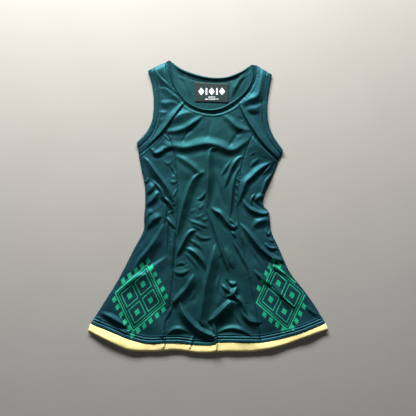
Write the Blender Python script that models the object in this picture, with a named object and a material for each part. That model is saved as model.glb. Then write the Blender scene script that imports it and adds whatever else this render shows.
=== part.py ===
# A sleeveless sports dress laid flat on its back with the front up.
# x runs to the viewer's right, y towards the neck and z up from the floor.

import bmesh
import bpy
import numpy as np

# Driving dimensions, in metres
GARMENT_LENGTH = 0.757
FRONT_WALL = 0.0015
BACK_WALL = 0.0012
LABEL_WALL = 0.0010
SEAM_GAP = 0.0003
SEAM_DIP = 0.0007
SEAM_DIP_REACH = 0.004
BINDING_CROWN = 0.0012
TRIM_DROP = 0.0004
BACK_TRIM_EXTRA = 0.003

# How far the front stands up from its closed edges
PUFF = 0.0035
PUFF_REACH = 0.009
NECK_PUFF_SHARE = 0.35
EDGE_FOLD_SHARE = 0.25
LEAST_LIFT = 0.0004

# The tables below are in millimetres for a garment of this length
DRAWN_LENGTH = 757
UNIT = GARMENT_LENGTH / DRAWN_LENGTH

# Divisions along each shared line
SHOULDER_STEPS = 2
BACK_NECK_STEPS = 12
ARMHOLE_STEPS = 9
RAGLAN_LOWER_STEPS = 13
RAGLAN_UPPER_STEPS = 6
NECK_CENTRE_STEPS = 14
PANEL_ROWS = 54
BACK_SIDE_ROWS = 15
BINDING_COLUMNS = 3
TRIM_ROWS = 2
ROW_EASE = 1.10
LABEL_COLUMNS = 6
LABEL_ROWS = 3

# Plan lines: each is a smooth curve through its points, from the top down or from left to right
LINES = {
    "shoulder_left": ((-142, 357), (-110, 372)),
    "shoulder_right": ((126, 364), (153, 348)),
    "armhole_edge_left": ((-155, 349), (-145, 315), (-140, 275), (-143, 228), (-157, 193), (-185, 162)),
    "armhole_seam_left": ((-142, 357), (-132, 315), (-128, 270), (-132, 224), (-149, 182), (-182, 149)),
    "armhole_edge_right": ((165, 339), (158, 300), (153, 262), (156, 217), (169, 180), (194, 144)),
    "armhole_seam_right": ((153, 348), (146, 305), (141, 262), (144, 216), (158, 172), (191, 132)),
    "side_top_left": ((-182, 149), (-180, 131)),
    "side_top_right": ((191, 132), (182, 115)),
    "neck_edge": (
        (-100, 377), (-95, 342), (-80, 303), (-53, 270), (-14, 252),
        (27, 253), (65, 271), (98, 300), (113, 335), (112, 365)),
    "neck_seam_left": ((-110, 372), (-107, 342), (-94, 305), (-59, 262)),
    "neck_seam_centre": ((-59, 262), (-38, 249), (-13, 241), (12, 238), (37, 242), (60, 253), (78, 266)),
    "neck_seam_right": ((78, 266), (107, 296), (124, 330), (126, 364)),
    "back_neck_edge": ((-100, 377), (-68, 355), (-30, 341), (8, 333), (46, 334), (83, 347), (112, 365)),
    "back_neck_seam": ((-110, 372), (-82, 344), (-40, 326), (9, 319), (58, 323), (97, 340), (126, 364)),
    "raglan_upper_left": ((-59, 262), (-74, 244), (-92, 220), (-109, 196)),
    "raglan_lower_left": ((-109, 196), (-124, 178), (-149, 154), (-180, 131)),
    "raglan_upper_right": ((78, 266), (84, 246), (98, 219), (118, 186)),
    "raglan_lower_right": ((118, 186), (136, 161), (158, 138), (182, 115)),
    "princess_left": (
        (-109, 196), (-90, 148), (-82, 92), (-79, 20), (-82, -65),
        (-90, -170), (-99, -250), (-112, -318), (-115, -358)),
    "princess_right": (
        (118, 186), (101, 148), (86, 92), (77, 15), (82, -55),
        (97, -140), (113, -220), (128, -292), (137, -357)),
    "side_left": (
        (-180, 131), (-172, 90), (-164, 48), (-163, 5), (-166, -30),
        (-168, -66), (-196, -120), (-233, -192), (-267, -247), (-305, -307)),
    "side_right": (
        (182, 115), (168, 78), (149, 35), (143, 12), (146, -3), (158, -17), (161, -42),
        (166, -72), (185, -113), (205, -159), (222, -187), (249, -220), (278, -261), (305, -306)),
    "hem_left": ((-305, -307), (-253, -328), (-207, -347), (-160, -359), (-115, -358)),
    "hem_centre": ((-115, -358), (-73, -358), (-29, -363), (15, -362), (28, -356), (84, -356), (137, -357)),
    "hem_right": ((137, -357), (187, -347), (245, -330), (305, -306)),
    "trim_edge": (
        (-311, -325), (-255, -353), (-205, -374), (-140, -377), (-80, -374),
        (-20, -381), (40, -378), (120, -377), (190, -363), (250, -342), (311, -320)),
}

# The neckline is close to this ellipse, in table millimetres
NECK_CENTRE = (8, 363)
NECK_RADII = (105, 113)

# Corners of the label inside the back of the neck, clockwise from its upper left
LABEL_CORNERS = ((-32, 322), (55, 318), (52, 268), (-35, 272))

# Folds of the front: height, width on the lit side and on the shaded side, share of the height
# at the start and at the end, and the ridge's path, walked with the lit side on the left
FOLD_COLUMNS = ("name", "height", "lit", "shaded", "start", "end", "path")
FOLDS = (
    ("left strap roll", 4.5, 9, 13, 0.6, 0, ((-112, 364), (-101, 318), (-88, 297))),
    ("left shoulder crest", 4.5, 9, 11, 0.6, 0.3, ((-139, 353), (-115, 322), (-85, 290))),
    ("left yoke drag", 5.5, 12, 10, 0.2, 0.2, ((-130, 301), (-103, 290), (-68, 267))),
    ("left yoke second drag", 3, 9, 9, 0.2, 0, ((-122, 271), (-94, 261), (-76, 259))),
    ("left raglan roll", 5.5, 17, 6, 0.3, 0.3, ((-180, 136), (-128, 182), (-96, 223), (-63, 266))),
    ("right raglan roll", 6, 19, 6, 0.2, 0.3, ((84, 262), (102, 222), (140, 165), (183, 121))),
    ("right yoke drag", 5.5, 14, 14, 0.2, 0.4, ((84, 260), (109, 275), (136, 306), (143, 350))),
    ("right yoke bar", 4, 10, 9, 0, 0.3, ((96, 246), (125, 252), (144, 262))),
    ("right shoulder patch", 3, 9, 11, 0.6, 0.2, ((134, 354), (156, 330))),
    ("chest roll", 6.5, 13, 15, 0.6, 0.2, (
        (-104, 156), (-60, 150), (-16, 159), (18, 158), (51, 145), (75, 148), (113, 177))),
    ("chest roll at the side", 5.5, 13, 12, 0.1, 0.6, ((-150, 150), (-136, 135), (-114, 146), (-92, 153))),
    ("left bust", 4, 15, 10, 0.5, 0, ((-106, 190), (-60, 190), (-33, 208), (-12, 222))),
    ("left bust crease", -3, 9, 9, 0.8, 0.3, ((-40, 203), (-60, 176), (-68, 164))),
    ("under left neck", 4.5, 15, 12, 0.2, 0.2, ((-96, 218), (-77, 232), (-36, 240))),
    ("right bust", 4.5, 12, 10, 0, 0.3, ((59, 225), (68, 207), (106, 192))),
    ("right bust hollow", -4, 10, 10, 0.6, 0.3, ((104, 190), (70, 172), (58, 158))),
    ("centre ridge at the waist", 6, 10, 12, 0, 0.3, ((-3, -10), (-1, 58), (0, 112), (17, 150))),
    ("left waist arm", 5, 12, 12, 0.2, 0.5, ((-84, 130), (-38, 101), (-13, 84))),
    ("left waist drag", 7.5, 10, 14, 0, 0.2, ((-82, -82), (-67, -6), (-48, 52), (-15, 88))),
    ("centre crumple", 3, 9, 9, 0, 0, ((-53, -34), (-21, -49), (3, -58))),
    ("left hip drag", 6.5, 10, 11, 0.2, 0.3, ((-82, -131), (-66, -98), (-44, -66), (-35, -64))),
    ("hip bow", 6, 11, 11, 0, 0, ((-61, -109), (-21, -134), (-3, -174))),
    ("centre ridge at the hip", 5.5, 10, 10, 0, 0, ((-3, -8), (23, -75), (57, -177))),
    ("right waist drag", 7, 12, 10, 0.1, 0.2, ((10, -6), (33, -22), (57, -51), (76, -49))),
    ("right bust drag", 6, 10, 10, 0, 0.5, ((42, 45), (59, 94), (89, 127))),
    ("right seam drag", 5, 10, 9, 0, 0, ((56, -34), (62, 36), (84, 101))),
    ("right inner hollow", -2, 11, 11, 0, 0, ((16, 92), (36, 18), (46, -8))),
    ("right hip line", 4.5, 9, 9, 0, 0, ((65, -90), (83, -122), (103, -167))),
    ("left bowl", 3, 11, 9, 0.4, 0, ((-90, -170), (-71, -176), (-45, -166))),
    ("left lower drag", 7, 11, 12, 0.5, 0, ((-88, -247), (-57, -214), (-35, -176))),
    ("skirt centre flute", 8, 10, 14, 0.4, 0, ((-16, -307), (-16, -259), (-3, -187), (21, -96))),
    ("hem swag left", 10, 15, 13, 0, 0.6, ((-74, -246), (-58, -287), (-27, -318), (18, -340))),
    ("hem swag right", 8.5, 12, 11, 0.2, 0.3, ((-4, -297), (28, -266), (64, -250))),
    ("knot body", 7, 10, 10, 0.3, 0.2, ((49, -233), (66, -216), (72, -207))),
    ("knot left arm", 4.5, 9, 9, 0, 0.4, ((33, -202), (44, -212), (53, -221))),
    ("knot right arm", 6.5, 11, 11, 0.4, 0, ((69, -227), (94, -257), (106, -288), (127, -299))),
    ("hem arc left", 5, 12, 10, 0.1, 0, ((-105, -331), (-76, -316), (-50, -330))),
    ("hem arc right", 6.5, 14, 10, 0, 0, ((24, -328), (66, -314), (118, -336))),
    ("hem pleat", 5.5, 12, 5, 0.9, 0, ((21, -374), (21, -330), (14, -298))),
    ("hem step at the left seam", 3, 11, 6, 0.7, 0, ((-114, -366), (-113, -345), (-120, -313))),
    ("left side diagonal", 7, 10, 12, 0.1, 0.1, ((-170, 128), (-142, 97), (-114, 60), (-86, 8))),
    ("left side second diagonal", 4.5, 9, 9, 0, 0, ((-148, 68), (-120, 38), (-102, 10), (-84, -14))),
    ("left waist hook", 5.5, 10, 10, 0.5, 0.1, ((-163, 3), (-140, 28), (-123, 36))),
    ("left waist upright", 3, 9, 9, 0, 0, ((-114, -52), (-111, -8), (-115, 10))),
    ("left edge puff", 3.5, 10, 9, 0.6, 0, ((-163, 35), (-152, 42), (-139, 57))),
    ("left hip puff", 5.5, 12, 11, 0.3, 0, ((-158, -60), (-142, -37), (-118, -32))),
    ("left skirt drag", 6.5, 10, 12, 0, 0.1, ((-198, -176), (-164, -124), (-131, -77), (-113, -47))),
    ("left skirt outer drag", 4, 9, 9, 0, 0, ((-204, -132), (-170, -78), (-156, -56))),
    ("left skirt lower drag", 6.5, 11, 12, 0, 0, ((-242, -236), (-200, -194), (-164, -177), (-102, -129))),
    ("left strip diagonal", 4.5, 9, 9, 0, 0.2, ((-108, -30), (-98, -42), (-85, -59))),
    ("left seam strip", 3, 9, 9, 0, 0, ((-97, -163), (-95, -120), (-93, -68))),
    ("left hem swell", 6.5, 14, 12, 0.2, 0, ((-276, -279), (-240, -296), (-204, -320))),
    ("right side diagonal", 7.5, 12, 13, 0.1, 0.3, ((76, 2), (98, 60), (127, 88), (171, 115))),
    ("right outer diagonal", 4, 9, 9, 0, 0.2, ((140, 79), (157, 97), (169, 113))),
    ("right outer lower diagonal", 4.5, 9, 9, 0, 0.5, ((133, 22), (150, 62), (165, 80))),
    ("right underarm", 3.5, 9, 9, 0, 0, ((106, 100), (122, 132), (134, 134))),
    ("right waist knot", 5.5, 11, 9, 0.3, 0.3, ((123, 13), (140, 24), (149, 15))),
    ("right waist crack", -4, 8, 8, 0.4, 0.5, ((119, 14), (144, -9), (157, -14))),
    ("right waist crescent", 6.5, 10, 10, 0.1, 0.7, ((91, 15), (109, -8), (144, -21), (160, -19))),
    ("right waist puff", 6.5, 12, 12, 0.2, 0.7, ((117, -55), (133, -41), (164, -37))),
    ("right edge notch", 3.5, 9, 9, 0.2, 0.6, ((148, -62), (156, -75), (164, -65))),
    ("right edge arc", 4, 9, 9, 0, 0.6, ((145, -96), (160, -109), (181, -111))),
    ("right skirt drag", 7.5, 12, 11, 0, 0.6, ((82, -46), (118, -88), (153, -125), (200, -144))),
    ("right skirt middle drag", 3.5, 10, 9, 0, 0.5, ((151, -144), (185, -168), (212, -182))),
    ("right skirt inner drag", 4, 10, 9, 0, 0, ((118, -166), (150, -196), (168, -210))),
    ("right skirt lower drag", 5, 10, 11, 0, 0, ((165, -201), (205, -246), (225, -265))),
    ("right corner stripe", 3, 9, 9, 0, 0.4, ((252, -260), (270, -275), (294, -291))),
)
FOLD_TAPER = 0.35

# Plan points this far apart give a slope, in metres
SLOPE_STEP = 0.001

# Edges sharper than this stay sharp, in degrees
SHARP_ANGLE = 50

# Width of the band inside the neck opening over which the back's binding gains its roundness
OPENING_MARGIN = 0.25

# Colour, roughness and metallic value of each cloth
TEAL = ((0.030, 0.110, 0.120, 1), 0.42, 0.15)
BACK_TEAL = ((0.026, 0.095, 0.110, 1), 0.50, 0.10)
CREAM = ((0.930, 0.880, 0.420, 1), 0.60, 0.0)
LABEL_GREY = ((0.090, 0.130, 0.120, 1), 0.55, 0.0)


def curve_through(points, steps=16):
    """Fine points of a smooth curve through table points, in metres."""
    knots = np.array(points, float) * UNIT
    if len(knots) == 2:
        return knots
    padded = np.vstack((2 * knots[0] - knots[1], knots, 2 * knots[-1] - knots[-2]))
    t = np.linspace(0, 1, steps, endpoint=False)[:, None]
    spans = []
    for before, start, end, after in zip(padded, padded[1:], padded[2:], padded[3:]):
        linear = end - before
        square = 2 * before - 5 * start + 4 * end - after
        cube = 3 * start - before - 3 * end + after
        spans.append(start + 0.5 * (linear * t + square * t**2 + cube * t**3))
    return np.vstack(spans + [knots[-1:]])


def arc_lengths(points):
    """Length along the line at each point."""
    return np.concatenate(([0], np.cumsum(np.hypot(*np.diff(points, axis=0).T))))


def line(name, steps, ease=1):
    """Points at even steps along a plan line, or closer together near its start."""
    fine = curve_through(LINES[name])
    along = arc_lengths(fine)
    stops = along[-1] * np.linspace(0, 1, steps + 1) ** ease
    return np.column_stack([np.interp(stops, along, fine[:, axis]) for axis in (0, 1)])


def chain(*lines):
    """One line from several that meet end to start."""
    return np.vstack([lines[0]] + [part[1:] for part in lines[1:]])


def patch(top, right, bottom, left):
    """Plan points of a panel from its edges: top and bottom run right, left and right run down."""
    across = np.linspace(0, 1, len(top))[None, :, None]
    down = np.linspace(0, 1, len(left))[:, None, None]
    from_ends = (1 - down) * top[None] + down * bottom[None]
    from_sides = (1 - across) * left[:, None] + across * right[:, None]
    top_corners = (1 - across) * top[0] + across * top[-1]
    bottom_corners = (1 - across) * bottom[0] + across * bottom[-1]
    return from_ends + from_sides - (1 - down) * top_corners - down * bottom_corners


def strip(upper, lower, rows):
    """Plan points between two lines with the same number of points."""
    down = np.linspace(0, 1, rows + 1)[:, None, None]
    return (1 - down) * upper[None] + down * lower[None]


def parted(plan):
    """The panel with its edge drawn in by half of the gap between sewn pieces."""
    rows, columns = plan.shape[:2]
    ring = [(0, column) for column in range(columns - 1)]
    ring += [(row, columns - 1) for row in range(rows - 1)]
    ring += [(rows - 1, column) for column in range(columns - 1, 0, -1)]
    ring += [(row, 0) for row in range(rows - 1, 0, -1)]
    ring_rows, ring_columns = np.array(ring).T
    corners = plan[ring_rows, ring_columns]
    edges = np.roll(corners, -1, axis=0) - corners
    inward = np.column_stack((edges[:, 1], -edges[:, 0])) / np.hypot(*edges.T)[:, None]
    before = np.roll(inward, 1, axis=0)
    mitre = (inward + before) / (1 + np.sum(inward * before, axis=1))[:, None]
    moved = plan.copy()
    moved[ring_rows, ring_columns] = corners + mitre * SEAM_GAP / 2
    return moved


def nearest_on(points, path):
    """Distance from each point to a path, the share of the path there, and the side it is on."""
    along = arc_lengths(path)
    best = np.full(len(points), np.inf)
    share = np.zeros(len(points))
    side = np.ones(len(points))
    for start, end, offset in zip(path, path[1:], along):
        reach = end - start
        length = np.hypot(*reach)
        away = points - start
        t = np.clip(away @ reach / length**2, 0, 1)
        rest = away - t[:, None] * reach
        distance = np.hypot(*rest.T)
        closer = distance < best
        best[closer] = distance[closer]
        share[closer] = (offset + t[closer] * length) / along[-1]
        left = reach[0] * rest[:, 1] - reach[1] * rest[:, 0] > 0
        side[closer] = np.where(left[closer], 1, -1)
    return best, share, side


def distance_to(points, *names):
    """Distance from each point to the nearest of several plan lines."""
    return np.min([nearest_on(points, curve_through(LINES[name], 6))[0] for name in names], axis=0)


def ease(values):
    """Smooth step from 0 to 1."""
    values = np.clip(values, 0, 1)
    return values * values * (3 - 2 * values)


def fold_heights(points):
    """Height that the folds add: ridges blend into each other and hollows are cut from them."""
    ridges = np.zeros(len(points))
    hollows = np.zeros(len(points))
    for row in FOLDS:
        fold = dict(zip(FOLD_COLUMNS, row))
        distance, share, side = nearest_on(points, curve_through(fold["path"], 6))
        width = np.where(side > 0, fold["lit"], fold["shaded"]) * UNIT
        across = np.clip(1 - (distance / width) ** 2, 0, None) ** 2
        rising = fold["start"] + (1 - fold["start"]) * ease(share / FOLD_TAPER)
        falling = fold["end"] + (1 - fold["end"]) * ease((1 - share) / FOLD_TAPER)
        height = fold["height"] * UNIT * across * rising * falling
        if fold["height"] > 0:
            ridges += height**3
        else:
            hollows += height
    return np.cbrt(ridges) + hollows


def front_height(points):
    """Height of the front's outer face above the floor."""
    closed = distance_to(
        points, "side_left", "side_top_left", "armhole_edge_left", "shoulder_left",
        "side_right", "side_top_right", "armhole_edge_right", "shoulder_right")
    neck = distance_to(points, "neck_edge")
    seams = distance_to(
        points, "princess_left", "princess_right", "raglan_upper_left", "raglan_lower_left",
        "raglan_upper_right", "raglan_lower_right")
    swell = 1 - np.exp(-closed / PUFF_REACH)
    neck_swell = NECK_PUFF_SHARE + (1 - NECK_PUFF_SHARE) * (1 - np.exp(-neck / PUFF_REACH))
    folds = fold_heights(points) * (EDGE_FOLD_SHARE + (1 - EDGE_FOLD_SHARE) * swell)
    dip = SEAM_DIP * np.exp(-seams / SEAM_DIP_REACH)
    lift = PUFF * swell * neck_swell + folds * neck_swell - dip
    softened = np.where(lift > LEAST_LIFT, lift, LEAST_LIFT * np.exp(lift / LEAST_LIFT - 1))
    return BACK_WALL + SEAM_GAP + FRONT_WALL + softened


def steepness(points, height):
    """Growth of the wall's upright thickness where it leans."""
    step = SLOPE_STEP
    slopes = []
    for offset in ((step, 0), (0, step)):
        slopes.append((height(points + offset) - height(points - offset)) / (2 * step))
    return np.sqrt(1 + slopes[0] ** 2 + slopes[1] ** 2)


def front_faces(plan, raised=0):
    """Outer and inner heights of a front piece that stands above the common face by raised."""
    points = plan.reshape(-1, 2)
    outer = front_height(points).reshape(plan.shape[:2]) + raised
    upright = FRONT_WALL * steepness(points, front_height).reshape(plan.shape[:2])
    inner = np.maximum(outer - upright, BACK_WALL + SEAM_GAP)
    return outer, inner


def back_faces(plan, raised=0):
    """Outer and inner heights of a back piece, which lies flat on the floor."""
    outer = np.full(plan.shape[:2], BACK_WALL) + raised
    return outer, np.zeros(plan.shape[:2])


def in_opening(plan):
    """One well inside the neck opening, where the back shows, and nought outside it."""
    offset = (plan / UNIT - NECK_CENTRE) / NECK_RADII
    return ease((1 - np.hypot(offset[..., 0], offset[..., 1])) / OPENING_MARGIN)


def crown(plan):
    """Roundness across a strip, nought along both of its long edges."""
    across = np.linspace(-1, 1, plan.shape[0])[:, None]
    return BINDING_CROWN * (1 - across**2) * np.ones(plan.shape[:2])


def sheet(name, plan, faces, cloth):
    """A closed wall whose upper face is a grid on the plan and whose lower face copies it."""
    rows, columns = plan.shape[:2]
    outer, inner = faces
    shape = bmesh.new()
    bmesh.ops.create_grid(shape, x_segments=columns - 1, y_segments=rows - 1, size=1)
    centre = np.array((*plan.reshape(-1, 2).mean(axis=0), 0))
    upper = np.dstack((plan, outer))[::-1].reshape(-1, 3) - centre
    lower = np.dstack((plan, inner))[::-1].reshape(-1, 3) - centre
    shape.verts.ensure_lookup_table()
    for vertex, place in zip(shape.verts, upper):
        vertex.co = place
    bmesh.ops.triangulate(shape, faces=shape.faces[:], quad_method="SHORT_EDGE")
    order = shape.verts.layers.int.new("order")
    for index, vertex in enumerate(shape.verts):
        vertex[order] = index
    made = bmesh.ops.extrude_face_region(shape, geom=shape.faces[:])
    for vertex in made["geom"]:
        if isinstance(vertex, bmesh.types.BMVert):
            vertex.co = lower[vertex[order]]
    bmesh.ops.triangulate(shape, faces=shape.faces[:])
    bmesh.ops.recalc_face_normals(shape, faces=shape.faces[:])
    shape.verts.layers.int.remove(order)
    mesh = bpy.data.meshes.new(name)
    shape.to_mesh(mesh)
    shape.free()
    mesh.shade_smooth()
    mesh.set_sharp_from_angle(angle=np.radians(SHARP_ANGLE))
    piece = bpy.data.objects.new(name, mesh)
    piece.location = centre
    mesh.materials.append(material(name + "_cloth", cloth))
    return piece


def material(name, cloth):
    """A plain cloth surface."""
    colour, roughness, metallic = cloth
    made = bpy.data.materials.new(name)
    made.use_nodes = True
    made.diffuse_color = colour
    surface = made.node_tree.nodes["Principled BSDF"]
    surface.inputs["Base Color"].default_value = colour
    surface.inputs["Roughness"].default_value = roughness
    surface.inputs["Metallic"].default_value = metallic
    return made


def raglan(side):
    """The two stretches of a raglan seam, each from its neck end down to its armhole end."""
    return (
        line(f"raglan_upper_{side}", RAGLAN_UPPER_STEPS),
        line(f"raglan_lower_{side}", RAGLAN_LOWER_STEPS))


def centre_panel():
    """The front between the two long seams, up to the neck."""
    upper_left, _ = raglan("left")
    upper_right, _ = raglan("right")
    top = chain(upper_left[::-1], line("neck_seam_centre", NECK_CENTRE_STEPS), upper_right)
    plan = patch(
        top, line("princess_right", PANEL_ROWS, ROW_EASE),
        line("hem_centre", len(top) - 1), line("princess_left", PANEL_ROWS, ROW_EASE))
    return sheet("front_centre_panel", parted(plan), front_faces(parted(plan)), TEAL)


def side_panel(side):
    """The front from a long seam out to the side."""
    _, lower = raglan(side)
    hem = line(f"hem_{side}", RAGLAN_LOWER_STEPS)
    inner = line(f"princess_{side}", PANEL_ROWS, ROW_EASE)
    outer = line(f"side_{side}", PANEL_ROWS, ROW_EASE)
    if side == "left":
        plan = patch(lower[::-1], inner, hem, outer)
    else:
        plan = patch(lower, outer, hem, inner)
    return sheet(f"front_side_{side}", parted(plan), front_faces(parted(plan)), TEAL)


def yoke(side):
    """The front's shoulder piece, from the raglan seam up to the shoulder."""
    seam = chain(*raglan(side))
    neck = line(f"neck_seam_{side}", ARMHOLE_STEPS + 1)
    arm = chain(line(f"armhole_seam_{side}", ARMHOLE_STEPS), line(f"side_top_{side}", 1))
    shoulder = line(f"shoulder_{side}", len(seam) - 1)
    if side == "left":
        plan = patch(shoulder, neck, seam[::-1], arm)
    else:
        plan = patch(shoulder, arm, seam, neck[::-1])
    return sheet(f"front_yoke_{side}", parted(plan), front_faces(parted(plan)), TEAL)


def back_side(side):
    """The back's edge from the shoulder down to the hem."""
    return chain(
        line(f"armhole_seam_{side}", ARMHOLE_STEPS), line(f"side_top_{side}", 1),
        line(f"side_{side}", BACK_SIDE_ROWS))


def back_hem():
    """The back's hem from left to right."""
    names = ("hem_left", "hem_centre", "hem_right")
    whole = np.vstack([curve_through(LINES[name])[:-1] for name in names] + [line("hem_right", 1)[1:]])
    along = arc_lengths(whole)
    stops = np.linspace(0, along[-1], 2 * SHOULDER_STEPS + BACK_NECK_STEPS + 1)
    return np.column_stack([np.interp(stops, along, whole[:, axis]) for axis in (0, 1)])


def back_panel():
    """The whole back, flat on the floor."""
    top = chain(
        line("shoulder_left", SHOULDER_STEPS), line("back_neck_seam", BACK_NECK_STEPS),
        line("shoulder_right", SHOULDER_STEPS))
    plan = parted(patch(top, back_side("right"), back_hem(), back_side("left")))
    return sheet("back_panel", plan, back_faces(plan), BACK_TEAL)


def neck_bindings():
    """Bands along the front and the back of the neck."""
    steps = 2 * (ARMHOLE_STEPS + 1) + NECK_CENTRE_STEPS
    seam = chain(
        line("neck_seam_left", ARMHOLE_STEPS + 1), line("neck_seam_centre", NECK_CENTRE_STEPS),
        line("neck_seam_right", ARMHOLE_STEPS + 1))
    front = parted(strip(line("neck_edge", steps), seam, BINDING_COLUMNS))
    back = parted(strip(
        line("back_neck_edge", BACK_NECK_STEPS), line("back_neck_seam", BACK_NECK_STEPS), BINDING_COLUMNS))
    return [
        sheet("neck_binding_front", front, front_faces(front, crown(front)), TEAL),
        sheet("neck_binding_back", back, back_faces(back, crown(back) * in_opening(back)), BACK_TEAL)]


def armhole_bindings(side):
    """Bands along an armhole, one on the front and one on the back below it."""
    edge = line(f"armhole_edge_{side}", ARMHOLE_STEPS)
    seam = line(f"armhole_seam_{side}", ARMHOLE_STEPS)
    upper, lower = (seam, edge) if side == "left" else (edge, seam)
    plan = parted(strip(upper[::-1], lower[::-1], BINDING_COLUMNS - 1))
    return [
        sheet(f"armhole_binding_front_{side}", plan, front_faces(plan, crown(plan) / 2), TEAL),
        sheet(f"armhole_binding_back_{side}", plan, back_faces(plan), BACK_TEAL)]


def hem_trims():
    """Pale bands below the hem of the front and of the back."""
    hem = chain(
        line("hem_left", RAGLAN_LOWER_STEPS),
        line("hem_centre", 2 * RAGLAN_UPPER_STEPS + NECK_CENTRE_STEPS),
        line("hem_right", RAGLAN_LOWER_STEPS))
    front = parted(strip(hem, line("trim_edge", len(hem) - 1), TRIM_ROWS))
    low_hem = back_hem()
    low_edge = line("trim_edge", len(low_hem) - 1) - np.array((0, BACK_TRIM_EXTRA))
    back = parted(strip(low_hem, low_edge, TRIM_ROWS))
    return [
        sheet("hem_trim_front", front, front_faces(front, -TRIM_DROP), CREAM),
        sheet("hem_trim_back", back, back_faces(back), CREAM)]


def neck_label():
    """A blank label lying on the inside of the back."""
    upper_left, upper_right, lower_right, lower_left = np.array(LABEL_CORNERS, float) * UNIT
    across = np.linspace(0, 1, LABEL_COLUMNS + 1)[:, None]
    top = upper_left + across * (upper_right - upper_left)
    bottom = lower_left + across * (lower_right - lower_left)
    plan = strip(top, bottom, LABEL_ROWS)
    under, _ = back_faces(plan)
    faces = (under + SEAM_GAP + LABEL_WALL, under + SEAM_GAP)
    return sheet("neck_label", plan, faces, LABEL_GREY)


def set_origin(root, pieces):
    """Moves the garment so that its box is centred on the origin and stands on the floor."""
    corners = np.array([piece.location + vertex.co for piece in pieces for vertex in piece.data.vertices])
    low, high = corners.min(axis=0), corners.max(axis=0)
    root.location = (-(low[0] + high[0]) / 2, -(low[1] + high[1]) / 2, -low[2])


def main():
    for item in list(bpy.data.objects):
        bpy.data.objects.remove(item, do_unlink=True)
    collection = bpy.data.collections.new("sports_dress")
    bpy.context.scene.collection.children.link(collection)
    root = bpy.data.objects.new("sports_dress_origin", None)
    collection.objects.link(root)
    pieces = [centre_panel(), back_panel(), neck_label()] + neck_bindings() + hem_trims()
    for side in ("left", "right"):
        pieces += [side_panel(side), yoke(side)] + armhole_bindings(side)
    for piece in pieces:
        collection.objects.link(piece)
        piece.parent = root
    set_origin(root, pieces)


main()
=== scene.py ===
import math

import bpy
import numpy as np
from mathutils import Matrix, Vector


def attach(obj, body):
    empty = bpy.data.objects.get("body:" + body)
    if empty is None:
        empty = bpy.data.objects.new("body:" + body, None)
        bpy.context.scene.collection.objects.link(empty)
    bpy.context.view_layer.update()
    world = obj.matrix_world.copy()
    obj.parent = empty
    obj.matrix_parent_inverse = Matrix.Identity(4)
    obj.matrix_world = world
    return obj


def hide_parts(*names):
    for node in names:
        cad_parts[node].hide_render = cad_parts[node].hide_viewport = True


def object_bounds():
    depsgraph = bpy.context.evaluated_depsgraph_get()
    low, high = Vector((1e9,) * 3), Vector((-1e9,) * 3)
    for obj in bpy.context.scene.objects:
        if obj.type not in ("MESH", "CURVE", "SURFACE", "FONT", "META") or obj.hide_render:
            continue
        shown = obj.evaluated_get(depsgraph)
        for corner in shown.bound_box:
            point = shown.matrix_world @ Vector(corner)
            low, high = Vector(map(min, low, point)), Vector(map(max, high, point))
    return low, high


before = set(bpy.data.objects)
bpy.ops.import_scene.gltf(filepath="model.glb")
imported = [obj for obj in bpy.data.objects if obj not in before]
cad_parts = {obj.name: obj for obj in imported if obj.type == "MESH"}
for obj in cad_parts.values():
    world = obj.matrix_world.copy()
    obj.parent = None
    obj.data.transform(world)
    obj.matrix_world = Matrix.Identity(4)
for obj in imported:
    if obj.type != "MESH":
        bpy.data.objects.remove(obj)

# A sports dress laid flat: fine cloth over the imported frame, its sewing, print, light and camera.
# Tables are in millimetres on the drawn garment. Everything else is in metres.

CAD_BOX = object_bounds()

# The frame gives the scale and the place of the drawn lines
DRAWN_REACH = 760.4
DRAWN_TOP = 377
UNIT = (CAD_BOX[1].y - CAD_BOX[0].y) / DRAWN_REACH
SHIFT_Y = CAD_BOX[1].y - DRAWN_TOP * UNIT

# Sizes of the cells that the cloth is made of, with closer rows at the turned hem
FRONT_CELL = 0.0020
CLOSE_ROWS_CELL = 0.0009
CLOSE_ROWS_DEPTH = 0.026
BACK_CELL = 0.0032
BINDING_CELL = 0.0016
SIDE_COLUMNS_SHARE = 0.75
NECK_BAND_ROWS = 20
ARMHOLE_BAND_ROWS = 10
TRIM_ROWS = 10
BACK_TRIM_ROWS = 6
LABEL_STEPS = 30
LABEL_ROWS = 18

# The solids' walls and the gap between them, and the walls of the cloth
BACK_WALL = 0.0012
SEAM_GAP = 0.0003
FRONT_WALL = 0.0015
THIN_WALL = 0.0009
UNDER_WALL = BACK_WALL - 0.0001
LABEL_WALL = 0.0005
LABEL_LIFT = 0.0002

# Seams, edges, bindings and trims
SEAM_DIP = 0.0013
SEAM_DIP_REACH = 0.0019
SEAM_REACH = 0.03
EDGE_DROP = 0.0008
EDGE_DROP_REACH = 0.003
BINDING_CROWN = 0.0044
ARMHOLE_CROWN = 0.0016
# Share of the band's width from its open edge, and share of the crown's height there
CROWN_FORM = ((0, 0), (0.05, 0.62), (0.12, 0.93), (0.20, 1), (0.30, 0.86), (0.45, 0.45),
              (0.60, 0.22), (0.80, 0.12), (1, 0))
TRIM_RAISE = 0.0007
TRIM_ROLL = 0.0012
TRIM_ROLL_POWER = 8
BACK_TRIM_EXTRA = 0.003

# How far the front stands up from its closed edges
PUFF = 0.0035
PUFF_REACH = 0.009
NECK_PUFF_SHARE = 0.35
EDGE_FOLD_SHARE = 0.25
LEAST_LIFT = 0.0004
BACK_SOFTENING = 0.0008

# The turned hem and its two rows of stitches, as distances from the hem's edge
HEM_DEPTH = 0.0215
HEM_ROWS = (0.0100, 0.0172)
HEM_STEP = 0.0005
HEM_STEP_WIDTH = 0.002
HEM_GROOVE = 0.0021
HEM_GROOVE_REACH = 0.0011
HEM_BULGE = 0.0012
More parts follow.
